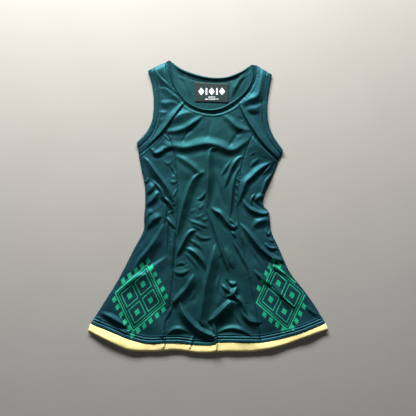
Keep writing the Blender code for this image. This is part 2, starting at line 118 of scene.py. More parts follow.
# Distance from the hem's edge in metres, and share of the bulge there
HEM_FORM = ((0, 0.35), (0.0012, 0.8), (0.0035, 1), (0.0075, 0.8), (0.0100, 0.3), (0.0135, 0.55),
            (0.0172, 0.1), (0.0195, 0.3), (0.0225, 0))

# Fine waviness of the cloth: height, wavelength, and how many crossing waves make it up
WAVINESS = ((0.00100, 0.090, 14), (0.00030, 0.042, 16), (0.00010, 0.024, 16))
WAVELENGTH_SPREAD = (0.7, 1.5)
FRONT_SEED = 11
BACK_SEED = 5
BACK_WAVE_SHARE = 0.4

# Ripples along a seam: they drift and swell over so many pitches, from another start on each seam
PUCKER_HEIGHT = 0.00022
PUCKER_PITCH = 0.0105
PUCKER_REACH = 0.007
PUCKER_DRIFT = 1.7
PUCKER_DRIFT_PITCHES = 4.3
PUCKER_SWELL = 0.45
PUCKER_SWELL_PITCHES = 6.1
PUCKER_SWELL_START = 2.3

# The form of every fold: heights as shares of its own height, places and widths as shares of its own
# width on that side, and the taper at each end as a share of its length
FOLD_GAIN = 1.15
FOLD_TAPER = 0.45
END_WIDTH = 0.4
CREST = 0.20
LIT_FLANK = 1.02
LIT_CURVE = 1.35
LIT_REACH = 1.3
SHADED_FLANK = 1.3
SHADED_CURVE = 1.8
VALLEY = 0.17
VALLEY_PLACE = 1.75
VALLEY_WIDTH = 1.1

# Steps of a curve between two table points, and fewer of them where only distances are wanted
FINE_STEPS = 16
ROUGH_STEPS = 5
# Distances are worked out this far from a line, and further off they count as a large one
FAR = 0.06
FAR_OFF = 10.0

# The garment's lines in plan. Left is the viewer's left in the photograph.
LINES = {
    "shoulder_left": ((-142, 357), (-110, 372)),
    "shoulder_right": ((126, 364), (153, 348)),
    "armhole_edge_left": ((-155, 349), (-145, 315), (-140, 275), (-143, 228), (-157, 193), (-185, 162)),
    "armhole_seam_left": ((-142, 357), (-132, 315), (-128, 270), (-132, 224), (-149, 182), (-182, 149)),
    "armhole_edge_right": ((165, 339), (158, 300), (153, 262), (156, 217), (169, 180), (194, 144)),
    "armhole_seam_right": ((153, 348), (146, 305), (141, 262), (144, 216), (158, 172), (191, 132)),
    "side_top_left": ((-182, 149), (-180, 131)),
    "side_top_right": ((191, 132), (182, 115)),
    "neck_edge": (
        (-100, 377), (-95, 342), (-80, 303), (-53, 270), (-14, 252),
        (27, 253), (65, 271), (98, 300), (113, 335), (112, 365)),
    "neck_seam_left": ((-110, 372), (-107, 342), (-94, 305), (-59, 262)),
    "neck_seam_centre": ((-59, 262), (-38, 249), (-13, 241), (12, 238), (37, 242), (60, 253), (78, 266)),
    "neck_seam_right": ((78, 266), (107, 296), (124, 330), (126, 364)),
    "back_neck_edge": ((-100, 377), (-68, 355), (-30, 341), (8, 333), (46, 334), (83, 347), (112, 365)),
    "back_neck_seam": ((-110, 372), (-82, 344), (-40, 326), (9, 319), (58, 323), (97, 340), (126, 364)),
    "raglan_upper_left": ((-59, 262), (-74, 244), (-92, 220), (-109, 196)),
    "raglan_lower_left": ((-109, 196), (-124, 178), (-149, 154), (-180, 131)),
    "raglan_upper_right": ((78, 266), (84, 246), (98, 219), (118, 186)),
    "raglan_lower_right": ((118, 186), (136, 161), (158, 138), (182, 115)),
    "princess_left": (
        (-109, 196), (-90, 148), (-82, 92), (-79, 20), (-82, -65),
        (-90, -170), (-99, -250), (-112, -318), (-115, -358)),
    "princess_right": (
        (118, 186), (101, 148), (86, 92), (77, 15), (82, -55),
        (97, -140), (113, -220), (128, -292), (137, -357)),
    "side_left": (
        (-180, 131), (-172, 90), (-164, 48), (-163, 5), (-166, -30),
        (-168, -66), (-196, -120), (-233, -192), (-267, -247), (-305, -307)),
    "side_right": (
        (182, 115), (168, 78), (149, 35), (143, 12), (146, -3), (158, -17), (161, -42),
        (166, -72), (185, -113), (205, -159), (222, -187), (249, -220), (278, -261), (305, -306)),
    "hem_left": ((-305, -307), (-253, -328), (-207, -347), (-160, -359), (-115, -358)),
    "hem_centre": ((-115, -358), (-73, -358), (-29, -363), (15, -362), (28, -356), (84, -356), (137, -357)),
    "hem_right": ((137, -357), (187, -347), (245, -330), (305, -306)),
    "trim_edge": (
        (-311, -325), (-255, -353), (-205, -374), (-140, -377), (-80, -374),
        (-20, -381), (40, -378), (120, -377), (190, -363), (250, -342), (311, -320)),
}
# The round inside which the back shows, and the share of it that the change at its edge takes
NECK_CENTRE = (8, 363)
NECK_RADII = (105, 113)
OPENING_MARGIN = 0.25
# Corners of the label, from the upper left one round
LABEL_CORNERS = ((-35, 320), (54, 316), (53, 266), (-34, 269))

# Folds: name, height, width on the lit and on the shaded side, share of the height at the start and at
# the end, and then the points of the ridge, walked with the lit side on the left. A hollow has a height
# below nought.
YOKE_FOLDS = (
    ("left strap roll", 4, 5, 11, 0.6, 0, (-112, 364), (-109, 342), (-101, 318), (-88, 297)),
    ("left shoulder crest", 4.6, 3.6, 15, 0.6, 0.3, (-138, 354), (-130, 342), (-122, 330), (-109, 319),
     (-95, 306), (-82, 293)),
    ("left shoulder patch", 4, 11, 24, 0.7, 0.4, (-140, 350), (-126, 356), (-113, 366)),
    ("left yoke ridge", 3.6, 7, 13, 0, 0.3, (-126, 303), (-112, 303), (-101, 296), (-92, 287), (-78, 279),
     (-66, 272)),
    ("left yoke second ridge", 2.8, 10, 12, 0.2, 0.2, (-126, 268), (-110, 265), (-95, 267), (-78, 263)),
    ("left yoke bar 1", 1.5, 6, 6, 0.4, 0, (-127, 243), (-117, 241), (-105, 242)),
    ("left yoke bar 2", 0.6, 5, 6, 0.5, 0, (-129, 224), (-119, 221), (-110, 222)),
    ("left raglan roll", 4.2, 12, 2, 0, 0.5, (-164, 149), (-150, 161), (-128, 182), (-113, 200), (-96, 223),
     (-78, 247), (-63, 266)),
    ("right yoke ridge", 5.8, 16, 14, 0.2, 0.4, (84, 260), (96, 269), (109, 275), (122, 280), (131, 289),
     (136, 306), (140, 330), (143, 350)),
    ("right yoke second ridge", 2.8, 11, 12, 0, 0.3, (96, 246), (110, 250), (125, 252), (144, 262)),
    ("right yoke hollow", -1, 9, 8, 0, 0, (105, 239), (121, 236), (137, 239)),
    ("right raglan roll", 6.6, 15, 2.4, 0.2, 0.3, (84, 262), (89, 247), (102, 222), (122, 190), (140, 165),
     (161, 142), (183, 121)),
    ("right shoulder patch", 2, 7, 9, 0.6, 0.2, (134, 354), (146, 344), (156, 330)),
)
CHEST_FOLDS = (
    ("chest roll", 5, 17, 11, 0.6, 0.2, (-104, 156), (-81, 152), (-60, 150), (-38, 154), (-16, 159),
     (5, 160), (18, 158), (36, 151), (51, 145), (64, 144), (75, 148), (88, 158), (101, 167), (113, 177)),
    ("side chest roll", 4.2, 10, 7, 0.1, 0.6, (-150, 150), (-143, 142), (-136, 135), (-123, 139),
     (-114, 146), (-104, 151), (-92, 153)),
    ("left bust ridge", 3.4, 11, 8, 0.5, 0, (-104, 191), (-79, 194), (-56, 203), (-32, 219), (-10, 235)),
    ("left bust crease", -1.5, 5, 6, 0.6, 0, (-66, 168), (-56, 184), (-42, 200), (-28, 212), (-12, 228)),
    ("under left neck", 3.6, 12, 15, 0.2, 0.2, (-96, 218), (-77, 232), (-55, 239), (-36, 240)),
    ("right bust sweep", 4.2, 13, 9, 0.2, 0.3, (42, 232), (57, 220), (73, 205), (91, 197), (104, 195)),
    ("right bust nick", -1.2, 5, 5, 0.3, 0.3, (80, 229), (92, 219)),
    ("right bust hollow", -1.8, 8, 8, 0.3, 0.2, (56, 156), (68, 173), (80, 188), (94, 196)),
    ("centre mark", -0.9, 6, 6, 0, 0, (8, 226), (5, 207), (0, 186), (-5, 172)),
    ("raglan tuck 1", 1.5, 2.5, 2.5, 0.3, 0, (-115, 184), (-105, 174), (-95, 163)),
    ("raglan tuck 2", 1.5, 2.5, 2.5, 0.3, 0, (-108, 188), (-100, 179), (-92, 169)),
)
WAIST_FOLDS = (
    ("centre ridge", 6.8, 7, 12, 0, 0.3, (-3, -10), (-3, 14), (-1, 58), (0, 112), (3, 138), (9, 147),
     (17, 150)),
    ("left waist arm", 3.2, 11, 9, 0, 0.5, (-84, 130), (-60, 116), (-38, 101), (-25, 88), (-13, 84)),
    ("left waist drag", 7.5, 6, 15, 0, 0.2, (-82, -82), (-75, -44), (-67, -6), (-63, 8), (-57, 28),
     (-48, 52), (-36, 72), (-15, 88)),
    ("hook beside the centre", 3.5, 4, 5, 0, 0, (-31, 16), (-20, 19), (-10, 30), (-4, 46)),
    ("crumple 1", 1.2, 5, 5, 0, 0, (-26, -9), (-18, -4), (-11, 5)),
    ("crumple 2", 1.3, 5, 5, 0, 0, (-37, -27), (-28, -30), (-18, -27), (-9, -20)),
    ("crumple 3", 1.3, 5, 4, 0, 0, (-21, -29), (-10, -37), (3, -31)),
    ("crumple 4", 2.2, 6, 6, 0, 0, (-53, -34), (-38, -43), (-21, -49), (3, -58)),
    ("crumple 5", 1.6, 6, 5, 0, 0, (-43, -51), (-25, -58), (-13, -67)),
    ("crumple 6", 1.1, 6, 5, 0, 0, (-47, -20), (-40, -14), (-31, -10)),
    ("soft bow", 2, 7, 5, 0, 0, (-35, -70), (-16, -85), (12, -84)),
    ("soft drag", 2.2, 7, 5, 0, 0, (-50, -87), (-25, -103), (-13, -115)),
    ("left hip drag", 6, 6, 9, 0.2, 0.3, (-82, -131), (-77, -120), (-66, -98), (-55, -77), (-44, -66),
     (-35, -64)),
    ("hip bow", 5.5, 9, 9, 0, 0, (-61, -109), (-38, -119), (-21, -134), (-9, -152), (-3, -174)),
    ("below the hip bow", 2.5, 6, 5, 0, 0, (-60, -122), (-45, -136), (-31, -154), (-26, -168)),
    ("centre ridge at the hip", 5, 7, 7, 0, 0, (-3, -8), (12, -44), (23, -75), (33, -107), (44, -140),
     (57, -177)),
    ("right waist drag", 6.5, 10, 8, 0.1, 0.2, (10, -6), (20, -14), (33, -22), (44, -36), (57, -51),
     (68, -56), (76, -49)),
    ("right waist nick 1", 3, 4, 4, 0, 0, (56, -33), (66, -45), (79, -60)),
    ("right waist nick 2", -2.5, 3, 3, 0.3, 0.3, (55, -43), (65, -51)),
    ("right waist nick 3", 2.5, 4, 4, 0, 0, (60, -65), (66, -73), (71, -83)),
    ("right bust drag", 4.6, 6, 7, 0, 0.2, (42, 45), (51, 73), (59, 94), (68, 110), (79, 123), (89, 127)),
    ("right seam drag", 4.5, 7, 6, 0, 0, (56, -34), (59, 3), (62, 36), (66, 62), (72, 82), (84, 101)),
    ("right inner drag", 2.5, 6, 6, 0, 0, (34, 77), (43, 92), (60, 116)),
    ("right inner hollow", -2, 8, 8, 0, 0, (16, 92), (22, 62), (36, 18), (46, -8)),
    ("right seam bit 1", 1.8, 3, 3, 0.2, 0, (73, 74), (78, 66), (84, 62)),
    ("right seam bit 2", 1.8, 3, 3, 0, 0.3, (70, 56), (76, 50), (80, 42)),
    ("right seam bit 3", 1.6, 3, 3, 0.2, 0, (69, 36), (75, 32), (78, 22)),
    ("right seam bit 4", 1.6, 3, 3, 0, 0.2, (70, 22), (75, 12), (77, 0)),
    ("right seam bit 5", 1.6, 3.5, 3, 0.2, 0.2, (84, -75), (88, -86), (90, -100)),
    ("right seam bit 6", 1.5, 3, 3, 0, 0, (73, -88), (78, -99), (86, -112)),
    ("right hip line", 4, 6, 6, 0, 0, (65, -90), (83, -122), (96, -148), (103, -167)),
    ("nick beside the flute", 1.2, 4, 4, 0, 0, (25, -139), (29, -131), (31, -118)),
)
SEWING_RIDGES = (
    ("beside the neck band", 1.2, 2.2, 2.4, 1, 1, (-115, 371), (-112, 341), (-99, 303), (-63, 258),
     (-40, 244), (-14, 236), (12, 233), (39, 237), (63, 248), (82, 262), (111, 293), (129, 329), (131, 364)),
    ("beside the left armhole band", 1, 2.2, 2.2, 1, 1, (-176, 147), (-145, 178), (-127, 222), (-123, 270),
     (-127, 315), (-137, 356)),
    ("beside the right armhole band", 1, 2.2, 2.2, 1, 1, (148, 348), (141, 305), (136, 262), (139, 215),
     (153, 169), (185, 130)),
    ("below the left raglan seam", 1.3, 2.2, 2.2, 0.6, 0.4, (-176, 127), (-150, 150), (-126, 173),
     (-113, 189)),
    ("below the right raglan seam", 1.3, 2.2, 2.2, 0.4, 0.6, (115, 181), (132, 158), (154, 134), (178, 112)),
)
SKIRT_FOLDS = (
    ("left bowl rim", 1, 4, 4, 0, 0, (-82, -153), (-68, -149), (-55, -160)),
    ("left bowl hollow", -1.2, 5, 5, 0.4, 0, (-86, -160), (-68, -158), (-50, -150)),
    ("left bowl", 2.4, 8, 6, 0.4, 0, (-90, -170), (-71, -176), (-45, -166)),
    ("left lower drag", 6.8, 7, 17, 0.5, 0, (-88, -247), (-79, -238), (-71, -229), (-57, -214), (-48, -198),
     (-35, -176)),
    ("centre flute", 9, 7, 20, 0.4, 0, (-16, -307), (-20, -293), (-16, -259), (-10, -220), (-3, -187),
     (5, -155), (13, -125), (21, -96)),
    ("hem swag left", 9.5, 9, 13, 0.1, 0.5, (-74, -250), (-63, -277), (-50, -295), (-32, -314), (-10, -328),
     (14, -338)),
    ("hem swag right", 9, 8, 26, 0.1, 0.5, (2, -299), (15, -290), (30, -275), (46, -259), (57, -250),
     (66, -250)),
    ("knot body", 7.5, 12, 7, 0.3, 0.3, (52, -236), (61, -232), (68, -225), (73, -213)),
    ("knot left arm", 5, 7, 5, 0, 0.6, (33, -202), (42, -212), (50, -219), (60, -224)),
    ("knot right arm", 8, 6, 9, 0.6, 0.3, (66, -226), (73, -236), (83, -245), (91, -257), (96, -272),
     (102, -286)),
    ("knot right foot", 6, 14, 7, 0.3, 0.2, (84, -268), (94, -286), (107, -298), (121, -303), (134, -303)),
    ("knot top", 4.5, 8, 5, 0.1, 0.1, (54, -198), (64, -204), (75, -201)),
    ("knot upper gap", -3.5, 4, 4, 0.3, 0, (46, -193), (54, -206), (60, -214)),
    ("knot lower gap", -4, 3.5, 3.5, 0.3, 0.3, (52, -240), (62, -242), (71, -238)),
    ("crease left of the knot", 2, 4, 7, 0, 0, (29, -180), (26, -200), (23, -222)),
    ("hem arc left", 4.2, 9, 4, 0.1, 0, (-106, -335), (-91, -323), (-76, -320), (-62, -324), (-50, -333)),
    ("hem arc right", 4.6, 10, 4.5, 0, 0, (24, -332), (40, -323), (57, -319), (75, -320), (95, -327),
     (116, -339)),
    ("skirt fall right of the flute", 2.2, 9, 14, 0, 0, (22, -262), (34, -238), (36, -210), (38, -186)),
    ("skirt fall above the knot", 2.6, 7, 16, 0, 0, (70, -166), (58, -148), (50, -128), (44, -110)),
    ("hem crease 1", -1.6, 2.2, 2.2, 0.4, 0.6, (-36, -341), (-10, -344), (19, -343)),
    ("hem crease 2", -1.2, 2.2, 2.2, 0.2, 0.6, (-22, -352), (0, -354), (19, -352)),
    ("hem pleat", 5, 10, 2.5, 0.9, 0, (21, -374), (21, -330), (14, -298)),
    ("hem pleat hollow", -3, 6, 5, 0, 0, (0, -299), (6, -311), (12, -321)),
    ("hem step middle", 2, 7, 4, 0.7, 0, (-47, -368), (-42, -350), (-34, -334)),
    ("hem step left seam", 3, 8, 3, 0.7, 0, (-114, -366), (-113, -345), (-120, -313)),
    ("left seam foot", 3, 6, 4, 0, 0, (-113, -302), (-102, -280), (-92, -258)),
    ("left seam hem patch", 2.5, 5, 4, 0.4, 0, (-122, -341), (-111, -324)),
    ("faint skirt line", 1.5, 7, 7, 0, 0, (-49, -248), (-40, -235), (-34, -217)),
)
LEFT_FOLDS = (
    ("side diagonal", 7.4, 6, 12, 0, 0.1, (-170, 128), (-155, 115), (-142, 97), (-129, 79), (-114, 60),
     (-101, 40), (-94, 21), (-86, 8)),
    ("side second", 5.4, 4.5, 6, 0, 0, (-148, 68), (-131, 53), (-120, 38), (-114, 21), (-102, 10), (-92, -5),
     (-84, -14)),
    ("seam hook", 1.5, 3.5, 3.5, 0, 0, (-93, 18), (-86, 32), (-80, 45)),
    ("seam patch", 1.6, 7, 5, 0.3, 0.3, (-97, 62), (-89, 60), (-82, 63)),
    ("seam arrow", 1.3, 6, 5, 0, 0, (-115, 117), (-103, 108), (-93, 118)),
    ("seam hollow", -2.2, 3.5, 3.5, 0, 0, (-100, 101), (-94, 90), (-88, 76)),
    ("seam bit 1", -1.8, 3, 3, 0.2, 0, (-90, 109), (-86, 96), (-84, 84)),
    ("seam bit 2", 1.1, 4, 4, 0, 0.4, (-93, 78), (-87, 72), (-84, 69)),
    ("seam bit 3", 1.3, 5, 4, 0.3, 0.3, (-99, 12), (-91, 4), (-83, 3)),
    ("seam bit 4", 1.6, 3, 3.5, 0.3, 0, (-104, -22), (-95, -15), (-85, -14)),
    ("seam bit 5", 1.4, 3, 3, 0.2, 0, (-95, -60), (-88, -68), (-83, -80)),
    ("seam bit 6", 1.4, 3, 3, 0, 0.2, (-102, -98), (-95, -104), (-88, -115)),
    ("waist hook", 4.4, 10, 9, 0.5, 0.1, (-163, 1), (-150, 10), (-140, 20), (-132, 31), (-123, 32)),
    ("waist crease", -2.6, 4, 4, 0, 0.2, (-83, -52), (-90, -33), (-102, -5), (-110, 18), (-116, 34)),
    ("waist upright", 3, 5, 4, 0, 0, (-114, -52), (-112, -30), (-111, -8), (-115, 10)),
    ("edge puff", 3.6, 13, 7, 0.6, 0, (-163, 31), (-152, 38), (-142, 50), (-134, 62)),
    ("edge nick", 2.5, 4, 4, 0.5, 0, (-170, 68), (-160, 62), (-154, 73)),
    ("hip finger", 3.4, 10, 7, 0.6, 0, (-166, -42), (-158, -28), (-150, -18), (-143, -26)),
    ("hip puff", 5, 15, 10, 0.3, 0, (-158, -60), (-150, -46), (-142, -37), (-127, -30), (-118, -32)),
    ("skirt drag", 6, 6, 18, 0, 0.1, (-198, -176), (-181, -144), (-164, -124), (-146, -101), (-131, -77),
     (-120, -57), (-113, -47)),
    ("skirt outer drag", 3.5, 5, 6, 0, 0, (-204, -132), (-186, -100), (-170, -78), (-156, -56)),
    ("skirt lower drag", 5, 8, 24, 0, 0, (-242, -236), (-222, -212), (-200, -194), (-181, -183),
     (-164, -177), (-146, -161), (-125, -146), (-102, -129)),
    ("strip diagonal", 4.5, 5, 5, 0, 0.2, (-108, -30), (-98, -42), (-85, -59)),
    ("strip spot", 1.2, 4, 4, 0, 0, (-102, -83), (-96, -92), (-89, -83)),
    ("strip hollow", -4, 3.5, 3.5, 0.2, 0, (-103, -40), (-102, -80), (-103, -112), (-99, -142)),
    ("strip ridge", 3.2, 6, 6, 0, 0, (-96, -166), (-93, -120), (-91, -62)),
    ("hem swell", 6, 11, 10, 0.2, 0, (-276, -279), (-257, -287), (-240, -296), (-222, -307), (-204, -320)),
    ("hem patch", 2.5, 5, 5, 0, 0, (-235, -317), (-216, -326), (-203, -331)),
    ("corner ripple 1", 1.5, 3.5, 3.5, 0.4, 0, (-287, -289), (-276, -294)),
    ("corner ripple 2", 1.5, 3.5, 3.5, 0.4, 0, (-291, -297), (-278, -302)),
)
RIGHT_FOLDS = (
    ("side diagonal", 5.8, 12, 8, 0.1, 0.3, (76, 2), (81, 14), (90, 38), (98, 60), (114, 75), (127, 88),
     (148, 103), (171, 115)),
    ("outer diagonal 1", 3.5, 4, 6, 0, 0.2, (140, 79), (157, 97), (169, 113)),
    ("outer diagonal 2", 4, 5, 6, 0, 0.5, (133, 22), (142, 38), (150, 62), (165, 80)),
    ("underarm shelf", 5, 4, 30, 0.3, 0.2, (114, 178), (134, 156), (158, 132), (178, 114)),
    ("underarm bit 1", 1.4, 3.5, 3.5, 0, 0, (117, 171), (124, 167), (130, 174)),
    ("underarm bit 2", 1.8, 5, 4, 0, 0, (107, 127), (114, 134), (124, 138), (134, 134)),
    ("underarm bit 3", 2.2, 6, 7, 0, 0, (108, 100), (120, 113), (138, 126)),
    ("underarm bit 4", 1.4, 4, 5, 0, 0, (104, 144), (112, 154), (123, 155)),
    ("underarm bit 5", 2, 5, 4, 0, 0, (136, 136), (146, 128), (158, 128)),
    ("knot", 5, 9, 6, 0.3, 0.3, (123, 13), (131, 21), (140, 24), (149, 15)),
    ("knot ring", 3, 4, 4, 0, 0, (116, -3), (112, 8), (114, 20), (125, 31)),
    ("knot crack", -6, 3.5, 3.5, 0.4, 0.5, (119, 14), (131, 1), (144, -9), (157, -14)),
    ("crescent", 5.4, 7, 8, 0.1, 0.6, (91, 15), (97, 4), (109, -8), (127, -17), (144, -21), (160, -19)),
    ("hip puff", 4.6, 11, 14, 0.2, 0.7, (117, -55), (124, -47), (133, -41), (146, -37), (164, -37)),
    ("edge notch 1", 3, 4, 4, 0.2, 0.6, (148, -62), (156, -75), (164, -65)),
    ("edge notch 2", 2, 4, 4, 0, 0.5, (158, -86), (166, -92), (174, -90)),
    ("edge arc", 3.5, 4.5, 5, 0, 0.6, (145, -96), (160, -109), (181, -111)),
    ("skirt drag", 7, 9, 8, 0, 0.6, (82, -46), (101, -66), (118, -88), (133, -107), (153, -125), (172, -137),
     (200, -144)),
    ("faint line 1", 1.5, 5, 5, 0, 0, (107, -98), (120, -121), (146, -160)),
    ("faint line 2", 1.5, 5, 5, 0, 0, (120, -98), (133, -118), (161, -152)),
    ("skirt middle drag", 3, 7, 6, 0, 0.5, (151, -144), (185, -168), (212, -182)),
    ("print drag 1", 4, 7, 6, 0, 0, (118, -166), (133, -182), (150, -196), (168, -210)),
    ("print drag 2", 4.5, 7, 8, 0, 0, (165, -201), (187, -226), (205, -246), (225, -265)),
    ("edge patch", 3, 7, 6, 0.3, 0, (190, -160), (203, -176), (215, -193)),
    ("corner stripe", 3, 6, 5, 0, 0.4, (252, -260), (270, -275), (294, -291)),
)
FRONT_FOLDS = (
    *YOKE_FOLDS, *CHEST_FOLDS, *WAIST_FOLDS, *SKIRT_FOLDS, *LEFT_FOLDS, *RIGHT_FOLDS, *SEWING_RIDGES)
BACK_FOLDS = (
    ("right drag 1", 4.5, 8, 7, 0, 0.3, (58, 272), (67, 298), (84, 328), (100, 345)),
    ("right drag 2", 3, 6, 5, 0, 0, (74, 281), (86, 304), (103, 332)),
    ("right drag 3", 3.4, 6, 6, 0.3, 0, (59, 322), (64, 305), (60, 285)),
    ("right drag 4", 3, 5, 6, 0, 0, (60, 301), (70, 312), (83, 310)),
    ("left drape 1", 3, 8, 7, 0, 0.4, (-58, 275), (-70, 300), (-85, 335)),
    ("left drape 2", 2.5, 7, 6, 0, 0.5, (-44, 272), (-50, 300), (-58, 335)),
    ("under the label 1", 2, 4, 4, 0.8, 0, (-13, 250), (-13, 261), (-12, 268)),
    ("under the label 2", 2, 4, 4, 0.8, 0, (3, 248), (3, 260), (3, 267)),
    ("under the label 3", 2, 4, 4, 0.8, 0, (20, 248), (19, 260), (18, 266)),
    ("under the label 4", 2, 4, 4, 0.8, 0, (37, 252), (34, 261), (31, 266)),
    ("left drag", 1.5, 8, 8, 0, 0, (-83, 331), (-66, 305), (-42, 274)),
    ("left tape edge", 1.8, 3, 4, 0.3, 0.5, (-94, 347), (-80, 335), (-66, 330), (-55, 322), (-42, 320)),
    ("right tape edge", 1.8, 3, 4, 0.5, 0.3, (58, 317), (70, 319), (80, 326), (92, 331), (108, 345)),
)
SIDES = ("side_left", "side_top_left", "armhole_edge_left", "shoulder_left",
         "side_right", "side_top_right", "armhole_edge_right", "shoulder_right")
NECK_SEAMS = ("neck_seam_left", "neck_seam_centre", "neck_seam_right")
SEAMS = ("princess_left", "princess_right", "raglan_upper_left", "raglan_lower_left",
         "raglan_upper_right", "raglan_lower_right", *NECK_SEAMS, "armhole_seam_left", "armhole_seam_right")
HEMS = ("hem_left", "hem_centre", "hem_right")


def curve_through(points, steps=FINE_STEPS):
    """Points of a smooth curve through table points, in metres, before the shift."""
    knots = np.array(points, float) * UNIT
    if len(knots) == 2:
        return knots
    padded = np.vstack((2 * knots[0] - knots[1], knots, 2 * knots[-1] - knots[-2]))
    t = np.linspace(0, 1, steps, endpoint=False)[:, None]
    spans = []
    for before, start, end, after in zip(padded, padded[1:], padded[2:], padded[3:]):
        linear = end - before
        square = 2 * before - 5 * start + 4 * end - after
        cube = 3 * start - before - 3 * end + after
        spans.append(start + 0.5 * (linear * t + square * t**2 + cube * t**3))
    return np.vstack(spans + [knots[-1:]])


def arc_lengths(points):
    """Length along the line at each point."""
    return np.concatenate(([0], np.cumsum(np.hypot(*np.diff(points, axis=0).T))))


def at_shares(points, shares):
    """Points of a line at given shares of its length."""
    along = arc_lengths(points)
    return np.column_stack([np.interp(shares * along[-1], along, part) for part in points.T])


def spaced(points, steps):
    """The line again with even steps."""
    return at_shares(points, np.linspace(0, 1, steps + 1))


def steps_for(length, cell):
    """How many steps of about a cell's size a length takes."""
    return max(2, round(length / cell))


def evenly(points, cell):
    """The line again with even steps of about a cell's size."""
    return spaced(points, steps_for(arc_lengths(points)[-1], cell))


def chain(*lines):
    """One line from several that meet end to start."""
    return np.vstack([lines[0]] + [part[1:] for part in lines[1:]])


def joined(*names):
    """One fine line through plan lines that meet end to start."""
    return chain(*(curve_through(LINES[name]) for name in names))


def line(steps, *names):
    """Plan lines as one line with even steps."""
    return spaced(joined(*names), steps)


def length_of(*names):
    """Length of plan lines that meet end to start."""
    return arc_lengths(joined(*names))[-1]


def rows_to_hem(length):
    """Shares down a front panel, with closer rows where the hem is turned and stitched."""
    turned = CLOSE_ROWS_DEPTH / length
    above = np.linspace(0, 1 - turned, steps_for(length - CLOSE_ROWS_DEPTH, FRONT_CELL))
    below = np.linspace(1 - turned, 1, steps_for(CLOSE_ROWS_DEPTH, CLOSE_ROWS_CELL))
    return np.concatenate((above, below[1:]))


def patch(top, right, bottom, left, shares=None):
    """Plan points of a panel from its edges: top and bottom run right, left and right run down."""
    across = np.linspace(0, 1, len(top))[None, :, None]
    down = (np.linspace(0, 1, len(left)) if shares is None else shares)[:, None, None]
    from_ends = (1 - down) * top[None] + down * bottom[None]
    from_sides = (1 - across) * left[:, None] + across * right[:, None]
    top_corners = (1 - across) * top[0] + across * top[-1]
    bottom_corners = (1 - across) * bottom[0] + across * bottom[-1]
    return from_ends + from_sides - (1 - down) * top_corners - down * bottom_corners


def strip(upper, lower, rows):
    """Plan points between two lines with the same number of points."""
    down = np.linspace(0, 1, rows + 1)[:, None, None]
    return (1 - down) * upper[None] + down * lower[None]


def filled(corners, steps, rows):
    """Plan points within four corners, given from the first one round."""
    first, second, third, fourth = corners
    across = np.linspace(0, 1, steps + 1)[:, None]
    return strip(first + across * (second - first), fourth + across * (third - fourth), rows)


def parted(plan):
    """The panel with its edge drawn in by half of the gap between sewn pieces."""
    rows, columns = plan.shape[:2]
    ring = [(0, column) for column in range(columns - 1)]
    ring += [(row, columns - 1) for row in range(rows - 1)]
    ring += [(rows - 1, column) for column in range(columns - 1, 0, -1)]
    ring += [(row, 0) for row in range(rows - 1, 0, -1)]
    ring_rows, ring_columns = np.array(ring).T
    corners = plan[ring_rows, ring_columns]
    edges = np.roll(corners, -1, axis=0) - corners
    inward = np.column_stack((edges[:, 1], -edges[:, 0])) / np.hypot(*edges.T)[:, None]
    before = np.roll(inward, 1, axis=0)
    mitre = (inward + before) / (1 + np.sum(inward * before, axis=1))[:, None]
    moved = plan.copy()
    moved[ring_rows, ring_columns] = corners + mitre * SEAM_GAP / 2
    return moved


def nearest_on(points, path):
    """Distance from each point to a path, the share of the path there, and the side it is on."""
    best = np.full(len(points), np.inf)
    share, side = np.ones((2, len(points)))
    along = arc_lengths(path)
    for start, end, offset in zip(path, path[1:], along):
        reach = end - start
        length = math.hypot(*reach)
        away = points - start
        t = np.clip(away @ reach / length**2, 0, 1)
        rest = away - t[:, None] * reach
        distance = np.hypot(*rest.T)
        closer = distance < best
        best[closer] = distance[closer]
        share[closer] = (offset + t[closer] * length) / along[-1]
        left = reach[0] * rest[:, 1] - reach[1] * rest[:, 0] > 0
        side[closer] = np.where(left[closer], 1, -1)
    return best, share, side


def beside(points, path, reach):
    """The points within reach of a path's box: their numbers, distances, shares and sides."""
    low, high = path.min(axis=0) - reach, path.max(axis=0) + reach
    near = np.flatnonzero(np.all((points > low) & (points < high), axis=1))
    if not len(near):
        return np.zeros((4, 0), int)
    return near, *nearest_on(points[near], path)


def near_lines(points, names, reach):
    """Distance to the nearest of several plan lines, worked out only within reach of each."""
    best = np.full(len(points), FAR_OFF)
    for name in names:
        near, distance, _, _ = beside(points, curve_through(LINES[name], ROUGH_STEPS), reach)
        best[near] = np.minimum(best[near], distance)
    return best


def ease(values):
    """Smooth step from 0 to 1."""
    values = np.clip(values, 0, 1)
    return values * values * (3 - 2 * values)


def pointed(values):
    """Rises from 0 steeply at first and eases into 1."""
    return 1 - (1 - np.clip(values, 0, 1)) ** 2


